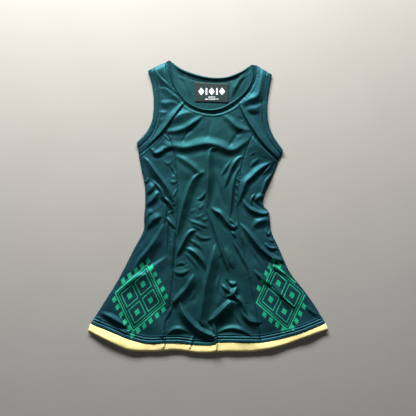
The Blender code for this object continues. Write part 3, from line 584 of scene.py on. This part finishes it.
def fold_heights(points, folds):
    """Height that folds add: ridges blend into each other and hollows are cut from them."""
    ridges, hollows = np.zeros((2, len(points)))
    for _, height, lit, shaded, start, end, *path in folds:
        reach = max(LIT_REACH * lit, (VALLEY_PLACE + VALLEY_WIDTH) * shaded) * UNIT
        near, distance, share, side = beside(points, curve_through(path, ROUGH_STEPS), reach)
        rising = start + (1 - start) * pointed(share / FOLD_TAPER)
        falling = end + (1 - end) * pointed((1 - share) / FOLD_TAPER)
        fullness = rising * falling
        on_lit = side > 0
        width = np.where(on_lit, lit, shaded) * UNIT * (END_WIDTH + (1 - END_WIDTH) * fullness)
        away = np.hypot(distance, CREST * width) - CREST * width
        flank = np.where(on_lit, LIT_FLANK, SHADED_FLANK)
        curve = np.where(on_lit, LIT_CURVE, SHADED_CURVE)
        peak = FOLD_GAIN * height * UNIT * fullness
        raised = peak * np.clip(1 - away / (flank * width), 0, None) ** curve
        if height < 0:
            hollows[near] += raised
        else:
            ridges[near] += raised**3
            beyond = (np.where(on_lit, 0, distance / width) - VALLEY_PLACE) / VALLEY_WIDTH
            hollows[near] -= VALLEY * peak * np.clip(1 - beyond**2, 0, None) ** 2
    return np.cbrt(ridges) + hollows


def waves(points, seed):
    """Soft irregular waviness from crossing waves with seeded directions."""
    random = np.random.default_rng(seed)
    total = np.zeros(len(points))
    for height, length, count in WAVINESS:
        for _ in range(count):
            angle = random.uniform(0, math.tau)
            pitch = length * random.uniform(*WAVELENGTH_SPREAD)
            phase = random.uniform(0, math.tau)
            direction = np.array((math.cos(angle), math.sin(angle)))
            total += height / math.sqrt(count) * np.sin(points @ direction * math.tau / pitch + phase)
    return total


def pucker(points):
    """Small ripples that the sewing draws up across each seam."""
    total = np.zeros(len(points))
    for number, name in enumerate(SEAMS):
        path = curve_through(LINES[name], ROUGH_STEPS)
        near, distance, share, side = beside(points, path, 3 * PUCKER_REACH)
        along = share * arc_lengths(path)[-1] * math.tau / PUCKER_PITCH
        drift = PUCKER_DRIFT * np.sin(along / PUCKER_DRIFT_PITCHES + number)
        swell = np.sin(along / PUCKER_SWELL_PITCHES + PUCKER_SWELL_START * number)
        uneven = 1 - PUCKER_SWELL + PUCKER_SWELL * swell
        fading = np.exp(-((distance / PUCKER_REACH) ** 2))
        total[near] += PUCKER_HEIGHT * np.sin(along + drift + side) * uneven * fading
    return total


def hem_form(points):
    """The turned hem: a step where it ends, a groove along the stitches and a bulge below them."""
    away = near_lines(points, HEMS, FAR)
    step = HEM_STEP * ease((HEM_DEPTH - away) / HEM_STEP_WIDTH + 0.5)
    groove = HEM_GROOVE * sum(np.exp(-(((away - row) / HEM_GROOVE_REACH) ** 2)) for row in HEM_ROWS)
    return step - groove + HEM_BULGE * np.interp(away, *np.transpose(HEM_FORM))


def front_height(points, hemmed=True):
    """Height of the front's outer face above the floor, with its turned hem or without."""
    closed_edge = near_lines(points, SIDES, FAR)
    neck = near_lines(points, ("neck_edge",), FAR)
    seams = near_lines(points, SEAMS, SEAM_REACH)
    swell = 1 - np.exp(-closed_edge / PUFF_REACH)
    neck_swell = NECK_PUFF_SHARE + (1 - NECK_PUFF_SHARE) * (1 - np.exp(-neck / PUFF_REACH))
    folds = fold_heights(points, FRONT_FOLDS) * (EDGE_FOLD_SHARE + (1 - EDGE_FOLD_SHARE) * swell)
    fine = waves(points, FRONT_SEED) * swell + pucker(points) + (hem_form(points) if hemmed else 0)
    dip = SEAM_DIP * np.exp(-seams / SEAM_DIP_REACH)
    lift = PUFF * swell * neck_swell + folds * neck_swell + fine - dip
    softened = np.where(lift > LEAST_LIFT, lift, LEAST_LIFT * np.exp(lift / LEAST_LIFT - 1))
    drop = EDGE_DROP * np.exp(-closed_edge / EDGE_DROP_REACH)
    return BACK_WALL + SEAM_GAP + FRONT_WALL + softened - drop


def in_opening(points):
    """One well inside the neck opening, where the back shows, and nought outside it."""
    offset = (points / UNIT - NECK_CENTRE) / NECK_RADII
    return ease((1 - np.hypot(*offset.T)) / OPENING_MARGIN)


def back_height(points):
    """Height of the back's upper face, which shows inside the neck."""
    rise = fold_heights(points, BACK_FOLDS) + BACK_WAVE_SHARE * waves(points, BACK_SEED)
    kept_up = (rise + np.hypot(rise, BACK_SOFTENING)) / 2
    return BACK_WALL + in_opening(points) * kept_up


def label_height(points):
    """Height of the label's upper face."""
    return back_height(points) + LABEL_LIFT + LABEL_WALL


def on(plan, height, **options):
    """A height function's values over a plan grid."""
    return height(plan.reshape(-1, 2), **options).reshape(plan.shape[:2])


def crown(plan, height, from_start=True):
    """A rolled strip: it rises steeply from its open edge and falls away in steps to its seam."""
    across = np.linspace(0, 1, plan.shape[0])[:, None] * np.ones(plan.shape[:2])
    if not from_start:
        across = 1 - across
    return height * np.interp(across, *np.transpose(CROWN_FORM))


def in_place(plan, heights):
    """Points of a plan grid at their heights, in the frame's place."""
    return np.dstack((plan[..., 0], plan[..., 1] + SHIFT_Y, heights)).reshape(-1, 3)


def grid_faces(plan, first=0):
    """Four-sided faces over a plan grid, upper side out, with its points numbered from a first one."""
    rows, columns = plan.shape[:2]
    index = first + np.arange(rows * columns).reshape(rows, columns)
    corners = (index[1:, :-1], index[1:, 1:], index[:-1, 1:], index[:-1, :-1])
    return np.stack(corners, axis=-1).reshape(-1, 4).tolist()


def add(name, places, faces, material):
    """Puts a smooth mesh in the scene as a piece that rides on the garment."""
    mesh = bpy.data.meshes.new(name)
    mesh.from_pydata(places.tolist(), [], faces)
    mesh.shade_smooth()
    mesh.materials.append(material)
    piece = bpy.data.objects.new(name, mesh)
    bpy.context.scene.collection.objects.link(piece)
    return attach(piece, "root")


def cloth(name, node, plan, heights, slot, wall=THIN_WALL):
    """A thin cloth wall that stands for a CAD node and takes its finish from a slot."""
    piece = add(name, in_place(plan, heights), grid_faces(plan), FINISHES[slot])
    cloth_map = piece.data.uv_layers.new(name="cloth")
    corner_vertices = np.empty(len(piece.data.loops), dtype=np.int32)
    piece.data.loops.foreach_get("vertex_index", corner_vertices)
    cloth_map.data.foreach_set("uv", plan.reshape(-1, 2)[corner_vertices].ravel())
    thicken = piece.modifiers.new("wall", "SOLIDIFY")
    thicken.thickness = wall
    thicken.offset = -1
    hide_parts(node)


def draped(name, plans, height, lift, material):
    """Flat printed shapes laid over a surface, as one mesh."""
    places = [in_place(plan, on(plan, height) + lift) for plan in plans]
    firsts = np.cumsum([0] + [len(place) for place in places])
    faces = [face for plan, first in zip(plans, firsts) for face in grid_faces(plan, first)]
    add(name, np.vstack(places), faces, material)


def shade(colour, change=1):
    """An opaque colour with its parts changed by one factor or by three."""
    return (*(np.array(colour) * change), 1)


def feed(tree, node, inputs):
    """Sets inputs of a shader node: a constant as it is, another node's output as a link."""
    for name, value in inputs.items():
        if isinstance(value, bpy.types.NodeSocket):
            tree.links.new(value, node.inputs[name])
        else:
            node.inputs[name].default_value = value


def made_node(tree, kind, inputs, output=0, **settings):
    """The output of a new shader node with its settings and inputs."""
    node = tree.nodes.new(f"ShaderNode{kind}")
    for name, value in settings.items():
        setattr(node, name, value)
    feed(tree, node, inputs)
    return node.outputs[output]


def new_material(name):
    """A material with its node tree and its surface node."""
    made = bpy.data.materials.new(name)
    made.use_nodes = True
    return made, made.node_tree, made.node_tree.nodes["Principled BSDF"]


def mixed(tree, factor, low, high):
    """A colour between two by a factor."""
    return made_node(tree, "Mix", {0: factor, 6: low, 7: high}, 2, data_type="RGBA")


def noise(tree, place, scale, detail=3):
    """Soft noise from nought to one."""
    return made_node(tree, "TexNoise", {"Vector": place, "Scale": scale, "Detail": detail}, "Fac")


def between(tree, value, low, high, from_low=0.3, from_high=0.7):
    """A number carried from one range into another."""
    ranges = {"From Min": from_low, "From Max": from_high, "To Min": low, "To Max": high}
    return made_node(tree, "MapRange", {"Value": value, **ranges})


def weighted(tree, value, weight, added):
    """A number times its weight and one more added to it."""
    return made_node(tree, "Math", {0: value, 1: weight, 2: added}, operation="MULTIPLY_ADD")


def bumped(tree, height, strength, distance):
    """A surface direction that is roughened by a height."""
    return made_node(tree, "Bump", {"Height": height, "Strength": strength, "Distance": distance}, "Normal")


# The knit's pitches across and along, its depth and how much the wales count beside the courses
WALE = 0.00075
COURSE = 0.0006
WEAVE_DEPTH = 0.00004
WALE_WEIGHT = 0.65
# How far a wave texture of scale one turns over a unit, in radians
WAVE_TURN = 20
# Distances from the middle where the painted shade and blue rim light towards the sides start and where they
# are full
PAINTED_SIDE_LIGHT_REACH = (0.06, 0.17)
# Share of the sheen's tint that cloth shows when light glances off it
GLANCING_SHARE = 0.5


def knit_weave(tree, place):
    """Height of a fine knit: upright wales crossed by courses."""
    wales, courses = (
        made_node(
            tree, "TexWave", {"Vector": place, "Scale": math.tau / (WAVE_TURN * pitch), "Distortion": 0},
            "Fac", wave_type="BANDS", bands_direction=direction, wave_profile="SIN")
        for direction, pitch in (("X", WALE), ("Y", COURSE)))
    return weighted(tree, wales, WALE_WEIGHT, courses)


def painted_side_light_mask(tree, place):
    """Nought along the middle of the garment and one near its sides, where painted shade and blue rim light
    are mixed in.
    """
    across = made_node(tree, "SeparateXYZ", {0: place}, "X")
    return between(tree, made_node(tree, "Math", {0: across}, operation="ABSOLUTE"), 0, 1, *PAINTED_SIDE_LIGHT_REACH)


def knit(name, dark, light, roughness, metallic, sheen, sheen_tint, painted_side_light=1):
    """Knit cloth: two close tones in soft patches and threads, a fine weave and a sheen, and towards the
    sides a colour change that paints in shade and a blue rim light.
    """
    made, tree, surface = new_material(name)
    place = made_node(tree, "UVMap", {}, uv_map="cloth")
    patches = between(tree, noise(tree, place, scale=9, detail=4), low=0, high=0.65)
    tone = weighted(tree, noise(tree, place, scale=900, detail=2), weight=0.35, added=patches)
    # Towards the sides the tones are changed into painted shade and blue rim light
    middle, painted_side_tone = (
        mixed(tree, tone, shade(dark, shift), shade(light, shift)) for shift in (1, painted_side_light))
    feed(tree, surface, {
        "Base Color": mixed(tree, painted_side_light_mask(tree, place), middle, painted_side_tone),
        "Roughness": between(tree, noise(tree, place, scale=60), *roughness),
        "Metallic": metallic,
        "Specular IOR Level": 0.015,
        "Specular Tint": shade(sheen_tint, GLANCING_SHARE),
        "Sheen Weight": sheen,
        "Sheen Roughness": 0.45,
        "Sheen Tint": shade(sheen_tint),
        "Normal": bumped(tree, knit_weave(tree, place), strength=0.6, distance=WEAVE_DEPTH)})
    return made


def thread(name, colour):
    """Sewing thread: a soft twist of two close tones."""
    made, tree, surface = new_material(name)
    place = made_node(tree, "TexCoord", {}, "Object")
    twist = noise(tree, place, scale=1500, detail=2)
    feed(tree, surface, {
        "Base Color": mixed(tree, twist, shade(colour, change=0.75), shade(colour)),
        "Roughness": 0.55,
        "Specular IOR Level": 0.2})
    return made


def ink(name, colour):
    """Printed film: slightly uneven in colour and gloss."""
    made, tree, surface = new_material(name)
    place = made_node(tree, "TexCoord", {}, "Object")
    broad = noise(tree, place, scale=40)
    grain = noise(tree, place, scale=1200, detail=2)
    feed(tree, surface, {
        "Base Color": mixed(tree, broad, shade(colour, change=0.8), shade(colour)),
        "Roughness": between(tree, broad, low=0.62, high=0.74),
        "Specular IOR Level": 0.03,
        "Normal": bumped(tree, grain, strength=0.3, distance=0.00003)})
    return made


# The satin's side change is painted shade with a bluer tint. The inner face's side change is a painted blue
# rim light.
SATIN = knit(
    "satin_knit", dark=(0.0100, 0.0460, 0.0500), light=(0.0146, 0.0675, 0.0760), roughness=(0.47, 0.57),
    metallic=0.68, sheen=0.05, sheen_tint=(0.05, 0.76, 0.82), painted_side_light=(0.90, 0.83, 1.00))
INNER = knit(
    "inner_face", dark=(0.0085, 0.0360, 0.0410), light=(0.0135, 0.0570, 0.0640), roughness=(0.58, 0.70),
    metallic=0.30, sheen=0.05, sheen_tint=(0.05, 0.74, 0.84), painted_side_light=(1.0, 0.98, 1.15))
CREAM = knit(
    "cream_trim", dark=(0.80, 0.67, 0.27), light=(0.87, 0.75, 0.35), roughness=(0.60, 0.70),
    metallic=0, sheen=0.15, sheen_tint=(1.0, 0.92, 0.6))
LABEL_FILM = ink("label_film", (0.021, 0.033, 0.030))
LABEL_PRINT = ink("label_print", (0.72, 0.75, 0.78))
MINT_PRINT = ink("mint_print", (0.014, 0.270, 0.140))
TEAL_THREAD = thread("teal_thread", (0.014, 0.075, 0.088))
FINISHES = {"front_cloth": SATIN, "back_cloth": INNER, "trim_cloth": CREAM, "label_cloth": LABEL_FILM}


def front_piece(name, node, plan):
    """A panel of the front, drawn in from its seams."""
    plan = parted(plan)
    cloth(name, node, plan, on(plan, front_height), "front_cloth")


def centre_panel():
    """The front between the two long seams, up to the neck."""
    upper = steps_for(length_of("raglan_upper_left"), FRONT_CELL)
    middle = steps_for(length_of("neck_seam_centre"), FRONT_CELL)
    shares = rows_to_hem(length_of("princess_left"))
    left, right = (at_shares(joined(f"princess_{side}"), shares) for side in ("left", "right"))
    top = chain(
        line(upper, "raglan_upper_left")[::-1], line(middle, "neck_seam_centre"),
        line(upper, "raglan_upper_right"))
    plan = patch(top, right, line(len(top) - 1, "hem_centre"), left, shares)
    front_piece("front_centre_cloth", "front_centre_panel", plan)


def side_panel(side):
    """The front from a long seam out to the side."""
    columns = steps_for(SIDE_COLUMNS_SHARE * length_of(f"hem_{side}"), FRONT_CELL)
    shares = rows_to_hem(length_of(f"princess_{side}"))
    inner, outer = (at_shares(joined(f"{edge}_{side}"), shares) for edge in ("princess", "side"))
    top = line(columns, f"raglan_lower_{side}")
    hem = line(columns, f"hem_{side}")
    if side == "left":
        plan = patch(top[::-1], inner, hem, outer, shares)
    else:
        plan = patch(top, outer, hem, inner, shares)
    front_piece(f"front_side_cloth_{side}", f"front_side_{side}", plan)


def yoke(side):
    """The front's shoulder piece, from the raglan seam up to the shoulder."""
    raglan = (f"raglan_upper_{side}", f"raglan_lower_{side}")
    columns = steps_for(length_of(*raglan), FRONT_CELL)
    rows = steps_for(length_of(f"armhole_seam_{side}"), FRONT_CELL)
    seam = line(columns, *raglan)
    arm = line(rows, f"armhole_seam_{side}", f"side_top_{side}")
    neck = line(rows, f"neck_seam_{side}")
    shoulder = line(columns, f"shoulder_{side}")
    if side == "left":
        plan = patch(shoulder, neck, seam[::-1], arm)
    else:
        plan = patch(shoulder, arm, seam, neck[::-1])
    front_piece(f"front_yoke_cloth_{side}", f"front_yoke_{side}", plan)


def back_panel():
    """The whole back, which lies on the floor and shows inside the neck."""
    columns = steps_for(length_of("back_neck_seam") + 2 * length_of("shoulder_left"), BACK_CELL)
    edges = [(f"armhole_seam_{side}", f"side_top_{side}", f"side_{side}") for side in ("right", "left")]
    rows = max(steps_for(length_of(*names), BACK_CELL) for names in edges)
    right, left = (spaced(evenly(joined(*names), BACK_CELL), rows) for names in edges)
    top = line(columns, "shoulder_left", "back_neck_seam", "shoulder_right")
    plan = parted(patch(top, right, line(columns, *HEMS), left))
    cloth("back_cloth", "back_panel", plan, on(plan, back_height), "back_cloth", UNDER_WALL)


def neck_bindings():
    """Bands along the front and the back of the neck."""
    steps = steps_for(length_of(*NECK_SEAMS), BINDING_CELL)
    plan = parted(strip(line(steps, "neck_edge"), line(steps, *NECK_SEAMS), NECK_BAND_ROWS))
    heights = on(plan, front_height) + crown(plan, BINDING_CROWN)
    cloth("neck_band_front", "neck_binding_front", plan, heights, "front_cloth")
    steps = steps_for(length_of("back_neck_seam"), BINDING_CELL)
    plan = parted(strip(line(steps, "back_neck_edge"), line(steps, "back_neck_seam"), NECK_BAND_ROWS))
    heights = on(plan, back_height) + crown(plan, BINDING_CROWN) * on(plan, in_opening)
    cloth("neck_band_back", "neck_binding_back", plan, heights, "back_cloth", UNDER_WALL)


def armhole_bindings(side):
    """Bands along an armhole, one on the front and one on the back below it."""
    steps = steps_for(length_of(f"armhole_seam_{side}"), BINDING_CELL)
    edge, seam = (line(steps, f"armhole_{part}_{side}")[::-1] for part in ("edge", "seam"))
    upper, lower = (seam, edge) if side == "left" else (edge, seam)
    plan = parted(strip(upper, lower, ARMHOLE_BAND_ROWS))
    heights = on(plan, front_height) + crown(plan, ARMHOLE_CROWN, side == "right")
    cloth(f"armhole_band_front_{side}", f"armhole_binding_front_{side}", plan, heights, "front_cloth")
    flat = np.full(plan.shape[:2], BACK_WALL)
    cloth(f"armhole_band_back_{side}", f"armhole_binding_back_{side}", plan, flat, "back_cloth", UNDER_WALL)


def hem_trims():
    """Pale bands below the hem of the front and of the back."""
    steps = steps_for(length_of(*HEMS), BINDING_CELL)
    hem = line(steps, *HEMS)
    edge = line(steps, "trim_edge")
    plan = parted(strip(hem, edge, TRIM_ROWS))
    roll = TRIM_ROLL * np.linspace(0, 1, TRIM_ROWS + 1)[:, None] ** TRIM_ROLL_POWER
    heights = on(plan, front_height, hemmed=False) + TRIM_RAISE - roll
    cloth("hem_band_front", "hem_trim_front", plan, heights, "trim_cloth")
    plan = parted(strip(hem, edge - (0, BACK_TRIM_EXTRA), BACK_TRIM_ROWS))
    flat = np.full(plan.shape[:2], BACK_WALL)
    cloth("hem_band_back", "hem_trim_back", plan, flat, "trim_cloth", UNDER_WALL)


def neck_label():
    """A blank label on the inside of the back."""
    plan = filled(np.array(LABEL_CORNERS) * UNIT, LABEL_STEPS, LABEL_ROWS)
    cloth("label_sheet", "neck_label", plan, on(plan, label_height), "label_cloth", LABEL_WALL)


def offset_line(points, distance):
    """The line moved to its left by a distance."""
    along = np.gradient(points, axis=0)
    along /= np.hypot(*along.T)[:, None]
    return points + distance * np.column_stack((-along[:, 1], along[:, 0]))


# Stitches: steps of the sewn lines, pitch, half sizes along, across and up, lift over the cloth, and
# distances of the twin rows beside a binding's seam
SEWN_HEM_STEPS = 400
SEWN_NECK_STEPS = 300
SEWN_LINE_STEPS = 200
STITCH_PITCH = 0.0031
STITCH_HALVES = (0.00125, 0.0004, 0.00032)
STITCH_LIFT = 0.0001
TWIN_ROWS = (0.0018, 0.0048)


def capsule(sides=6, rings=4):
    """A small rounded stitch of unit half length along X, as points and faces."""
    points = [(-1, 0, 0)]
    for ring in range(1, rings):
        turn = math.pi * ring / rings
        for corner in range(sides):
            angle = math.tau * corner / sides
            across, up = math.sin(turn) * math.cos(angle), math.sin(turn) * math.sin(angle)
            points.append((-math.cos(turn), across, up))
    points.append((1, 0, 0))
    faces = []
    end = 1 + (rings - 2) * sides
    for corner in range(sides):
        following = (corner + 1) % sides
        faces.append((0, 1 + following, 1 + corner))
        for start in range(1, end, sides):
            near, far = start + corner, start + following
            faces.append((near, far, far + sides, near + sides))
        faces.append((end + corner, end + following, len(points) - 1))
    return np.array(points), faces


def stitches(name, seam, distances, height):
    """Rows of stitches beside a seam, lying on a surface, made as one mesh."""
    form, form_faces = capsule()
    along, across, up = (form * STITCH_HALVES).T
    places = []
    for distance in distances:
        stops = evenly(offset_line(seam, distance), STITCH_PITCH)
        middles = (stops[1:] + stops[:-1]) / 2
        headings = np.diff(stops, axis=0)
        headings /= np.hypot(*headings.T)[:, None]
        behind, ahead = (height(middles + sign * STITCH_HALVES[0] * headings) for sign in (-1, 1))
        levels = (behind + ahead) / 2 + STITCH_LIFT
        slopes = (ahead - behind) / (2 * STITCH_HALVES[0])
        for middle, forward, level, slope in zip(middles, headings, levels, slopes):
            x = middle[0] + along * forward[0] - across * forward[1]
            y = middle[1] + along * forward[1] + across * forward[0] + SHIFT_Y
            places.append(np.column_stack((x, y, level + along * slope + up)))
    firsts = range(0, len(places) * len(form), len(form))
    faces = [[first + corner for corner in face] for first in firsts for face in form_faces]
    add(name, np.vstack(places), faces, TEAL_THREAD)


def sewing():
    """All rows of stitches that show."""
    beside_neck = [-away for away in TWIN_ROWS]
    stitches("hem_stitches", line(SEWN_HEM_STEPS, *HEMS), HEM_ROWS, front_height)
    stitches("neck_stitches", line(SEWN_NECK_STEPS, *NECK_SEAMS), beside_neck, front_height)
    back_seam = line(SEWN_LINE_STEPS, "back_neck_seam")
    stitches("back_neck_stitches", back_seam, beside_neck, back_height)
    for side, sign in (("left", 1), ("right", -1)):
        seam = line(SEWN_LINE_STEPS, f"armhole_seam_{side}")
        stitches(f"armhole_stitches_{side}", seam, [sign * away for away in TWIN_ROWS], front_height)


# The print on each side of the skirt, in table millimetres: its middle and its turn in degrees, a double
# border of lozenges with beads around it, and a lattice of four small lozenges with dots
PRINTS = {"left": ((-176, -240), -12), "right": ((190, -238), 12)}
PRINT_BORDERS = (((66, 88), 3.2), ((59, 79), 1.3))
PRINT_CELL_PLACES = (28, 37)
PRINT_LATTICE = (22.4, 29.6)
PRINT_LATTICE_LINE = 2.3
PRINT_DOT = (7.84, 10.36)
PRINT_BEAD = (6.5, 9.5)
PRINT_BEADS_A_SIDE = 6
PRINT_BEAD_OUT = 10
# Its lift over the cloth, its distance from the panel's edges and the steps it is made of, in metres
PRINT_LIFT = 0.00028
PRINT_MARGIN = 0.004
PRINT_CUT_STEP = 0.002
STROKE_STEP = 0.0016
BEAD_STEPS = 5


def lozenge(centre, halves):
    """Corners of an upright lozenge, from the top one round."""
    return centre + np.array(((0, 1), (1, 0), (0, -1), (-1, 0))) * halves


def closed(corners):
    """Corners with the first one again at the end."""
    return np.vstack((corners, corners[:1]))


def stroke(path, width):
    """Plan points of a printed line of some width."""
    middle = evenly(path, STROKE_STEP)
    return np.stack([offset_line(middle, share * width / 2) for share in (1, 0, -1)])


def inside(points, outline):
    """Whether each point is within a closed line, by counting the crossings to its right."""
    x, y = points[:, 0, None], points[:, 1, None]
    start, end = outline, np.roll(outline, -1, axis=0)
    crosses = (start[:, 1] > y) != (end[:, 1] > y)
    rise = np.where(start[:, 1] == end[:, 1], 1, end[:, 1] - start[:, 1])
    meets = start[:, 0] + (y - start[:, 1]) * (end[:, 0] - start[:, 0]) / rise
    return np.sum(crosses & (meets > x), axis=1) % 2 == 1


def printable(points, side):
    """Whether each point is on the side panel and clear of its seams, its side and its hem."""
    hem = joined(f"hem_{side}")[:: 1 if side == "left" else -1]
    outline = np.vstack((
        joined(f"raglan_lower_{side}"), joined(f"side_{side}"), hem, joined(f"princess_{side}")[::-1]))
    names = (f"princess_{side}", f"side_{side}", f"hem_{side}")
    return inside(points, outline) & (near_lines(points, names, FAR) > PRINT_MARGIN)


def cut_to_panel(path, side):
    """The stretches of a printed line that lie on the side panel."""
    points = evenly(path, PRINT_CUT_STEP)
    kept = printable(points, side)
    breaks = np.flatnonzero(kept[1:] != kept[:-1]) + 1
    stretches = zip(np.split(points, breaks), np.split(kept, breaks))
    return [stretch for stretch, on_panel in stretches if on_panel[0] and len(stretch) > 2]


def border_beads():
    """Lozenges set evenly outside the outer border."""
    border = closed(lozenge((0, 0), PRINT_BORDERS[0][0]))
    beads = []
    for start, end in zip(border, border[1:]):
        for share in np.arange(PRINT_BEADS_A_SIDE) / PRINT_BEADS_A_SIDE:
            middle = start + share * (end - start)
            beads.append(lozenge(middle * (1 + PRINT_BEAD_OUT / math.hypot(*middle)), PRINT_BEAD))
    return beads


def side_print(side):
    """Borders, a lattice and beads, turned to the side panel and cut at its edges."""
    centre, tilt = PRINTS[side]
    turn = math.radians(tilt)
    turning = np.array(((math.cos(turn), math.sin(turn)), (-math.sin(turn), math.cos(turn))))

    def placed(corners):
        return (centre + corners @ turning) * UNIT

    cells = lozenge((0, 0), PRINT_CELL_PLACES)
    groups = [([lozenge((0, 0), halves)], width) for halves, width in PRINT_BORDERS]
    groups.append(([lozenge(cell, PRINT_LATTICE) for cell in cells], PRINT_LATTICE_LINE))
    for number, (outlines, width) in enumerate(groups, 1):
        strokes = [
            stroke(stretch, width * UNIT)
            for outline in outlines for stretch in cut_to_panel(placed(closed(outline)), side)]
        draped(f"skirt_print_lines_{side}_{number}", strokes, front_height, PRINT_LIFT, MINT_PRINT)
    beads = map(placed, [lozenge(cell, PRINT_DOT) for cell in cells] + border_beads())
    plans = [filled(corners, BEAD_STEPS, BEAD_STEPS) for corners in beads if printable(corners, side).all()]
    draped(f"skirt_print_beads_{side}", plans, front_height, PRINT_LIFT, MINT_PRINT)


# The label's print in metres: half width, top and foot of a bar, place and half sizes of a lozenge,
# and height and half length of each line
LABEL_PITCH = 0.0135
LABEL_BAR = (0.002, 0.012, -0.005)
LABEL_LOZENGE_Y = 0.0035
LABEL_LOZENGE = (0.0078, 0.0095)
LABEL_LINES = ((-0.011, 0.009), (-0.0165, 0.018))
LABEL_LINE_WIDTH = 0.0014
LABEL_PRINT_LIFT = 0.0001
LABEL_PRINT_STEPS = 3


def label_print():
    """A row of solid lozenges and bars over two plain lines on the label."""
    middle = np.mean(LABEL_CORNERS, axis=0) * UNIT
    half, top, foot = LABEL_BAR
    plans = []
    for number in range(-2, 3):
        if number % 2:
            corners = np.array(((-half, top), (half, top), (half, foot), (-half, foot)))
        else:
            corners = lozenge((0, LABEL_LOZENGE_Y), LABEL_LOZENGE)
        placed = corners + middle + (number * LABEL_PITCH, 0)
        plans.append(filled(placed, LABEL_PRINT_STEPS, LABEL_PRINT_STEPS))
    draped("label_motif", plans, label_height, LABEL_PRINT_LIFT, LABEL_PRINT)
    lines = [np.array(((-half, y), (half, y))) + middle for y, half in LABEL_LINES]
    strokes = [stroke(path, LABEL_LINE_WIDTH) for path in lines]
    draped("label_lines", strokes, label_height, LABEL_PRINT_LIFT, LABEL_PRINT)


# The photograph's frame: 416 pixels of this many table millimetres, and the row that y = 0 falls on
PHOTO_PIXELS = 416
PIXEL_SIZE = 2.6
PHOTO_MIDDLE_V = 205.5
SENSOR = 36
CAMERA_HEIGHT = 2.2


def place_camera():
    """A camera straight above, framed as the photograph is."""
    data = bpy.data.cameras.new("camera")
    camera = bpy.data.objects.new("camera", data)
    bpy.context.scene.collection.objects.link(camera)
    data.sensor_width = SENSOR
    data.lens = SENSOR * CAMERA_HEIGHT / (PHOTO_PIXELS * PIXEL_SIZE * UNIT)
    data.clip_end = 20
    middle = (PHOTO_MIDDLE_V - PHOTO_PIXELS / 2) * PIXEL_SIZE * UNIT + SHIFT_Y
    camera.location = (0, middle, CAMERA_HEIGHT)
    bpy.context.scene.camera = camera


def area_light(name, place, target, size, power):
    """A rectangular light that faces a target."""
    data = bpy.data.lights.new(name, "AREA")
    data.shape = "RECTANGLE"
    data.size, data.size_y = size
    data.energy = power
    light = bpy.data.objects.new(name, data)
    light.location = place
    light.rotation_euler = (Vector(target) - Vector(place)).to_track_quat("-Z", "Y").to_euler()
    bpy.context.scene.collection.objects.link(light)


def lighting():
    """A wide soft key from beyond the neck and a weak even fill."""
    area_light("key", place=(-0.32, 2.00, 0.70), target=(0, -0.05, 0), size=(1.75, 0.42), power=275)
    area_light("fill", place=(0.2, -0.2, 2.6), target=(0, 0, 0), size=(2.0, 2.0), power=4)
    world = bpy.data.worlds.new("studio")
    world.use_nodes = True
    background = world.node_tree.nodes["Background"]
    feed(world.node_tree, background, {"Color": (1, 1, 1, 1), "Strength": 0.075})
    bpy.context.scene.world = world
    bpy.context.scene.view_settings.view_transform = "Standard"


FLOOR_REACH = 6
FLOOR_DROP = 0.0002


def plain_floor():
    """A plain pale floor just below the garment."""
    data = bpy.data.meshes.new("floor")
    corners = [(x * FLOOR_REACH, y * FLOOR_REACH, 0) for x, y in ((-1, -1), (1, -1), (1, 1), (-1, 1))]
    data.from_pydata(corners, [], [(0, 1, 2, 3)])
    floor = bpy.data.objects.new("floor", data)
    floor.location.z = -FLOOR_DROP
    bpy.context.scene.collection.objects.link(floor)
    made, tree, surface = new_material("pale_floor")
    patches = noise(tree, made_node(tree, "TexCoord", {}, "Object"), scale=6)
    tone = mixed(tree, patches, low=shade((0.25, 0.242, 0.222)), high=shade((0.27, 0.262, 0.242)))
    feed(tree, surface, {"Base Color": tone, "Roughness": 0.9, "Specular IOR Level": 0.02})
    data.materials.append(made)


def main():
    """Builds the garment, its sewing and print, and the stage around it."""
    place_camera()
    centre_panel()
    for side in ("left", "right"):
        side_panel(side)
        yoke(side)
    back_panel()
    neck_bindings()
    hem_trims()
    for side in ("left", "right"):
        armhole_bindings(side)
    neck_label()
    label_print()
    for side in ("left", "right"):
        side_print(side)
    sewing()
    plain_floor()
    lighting()


main()
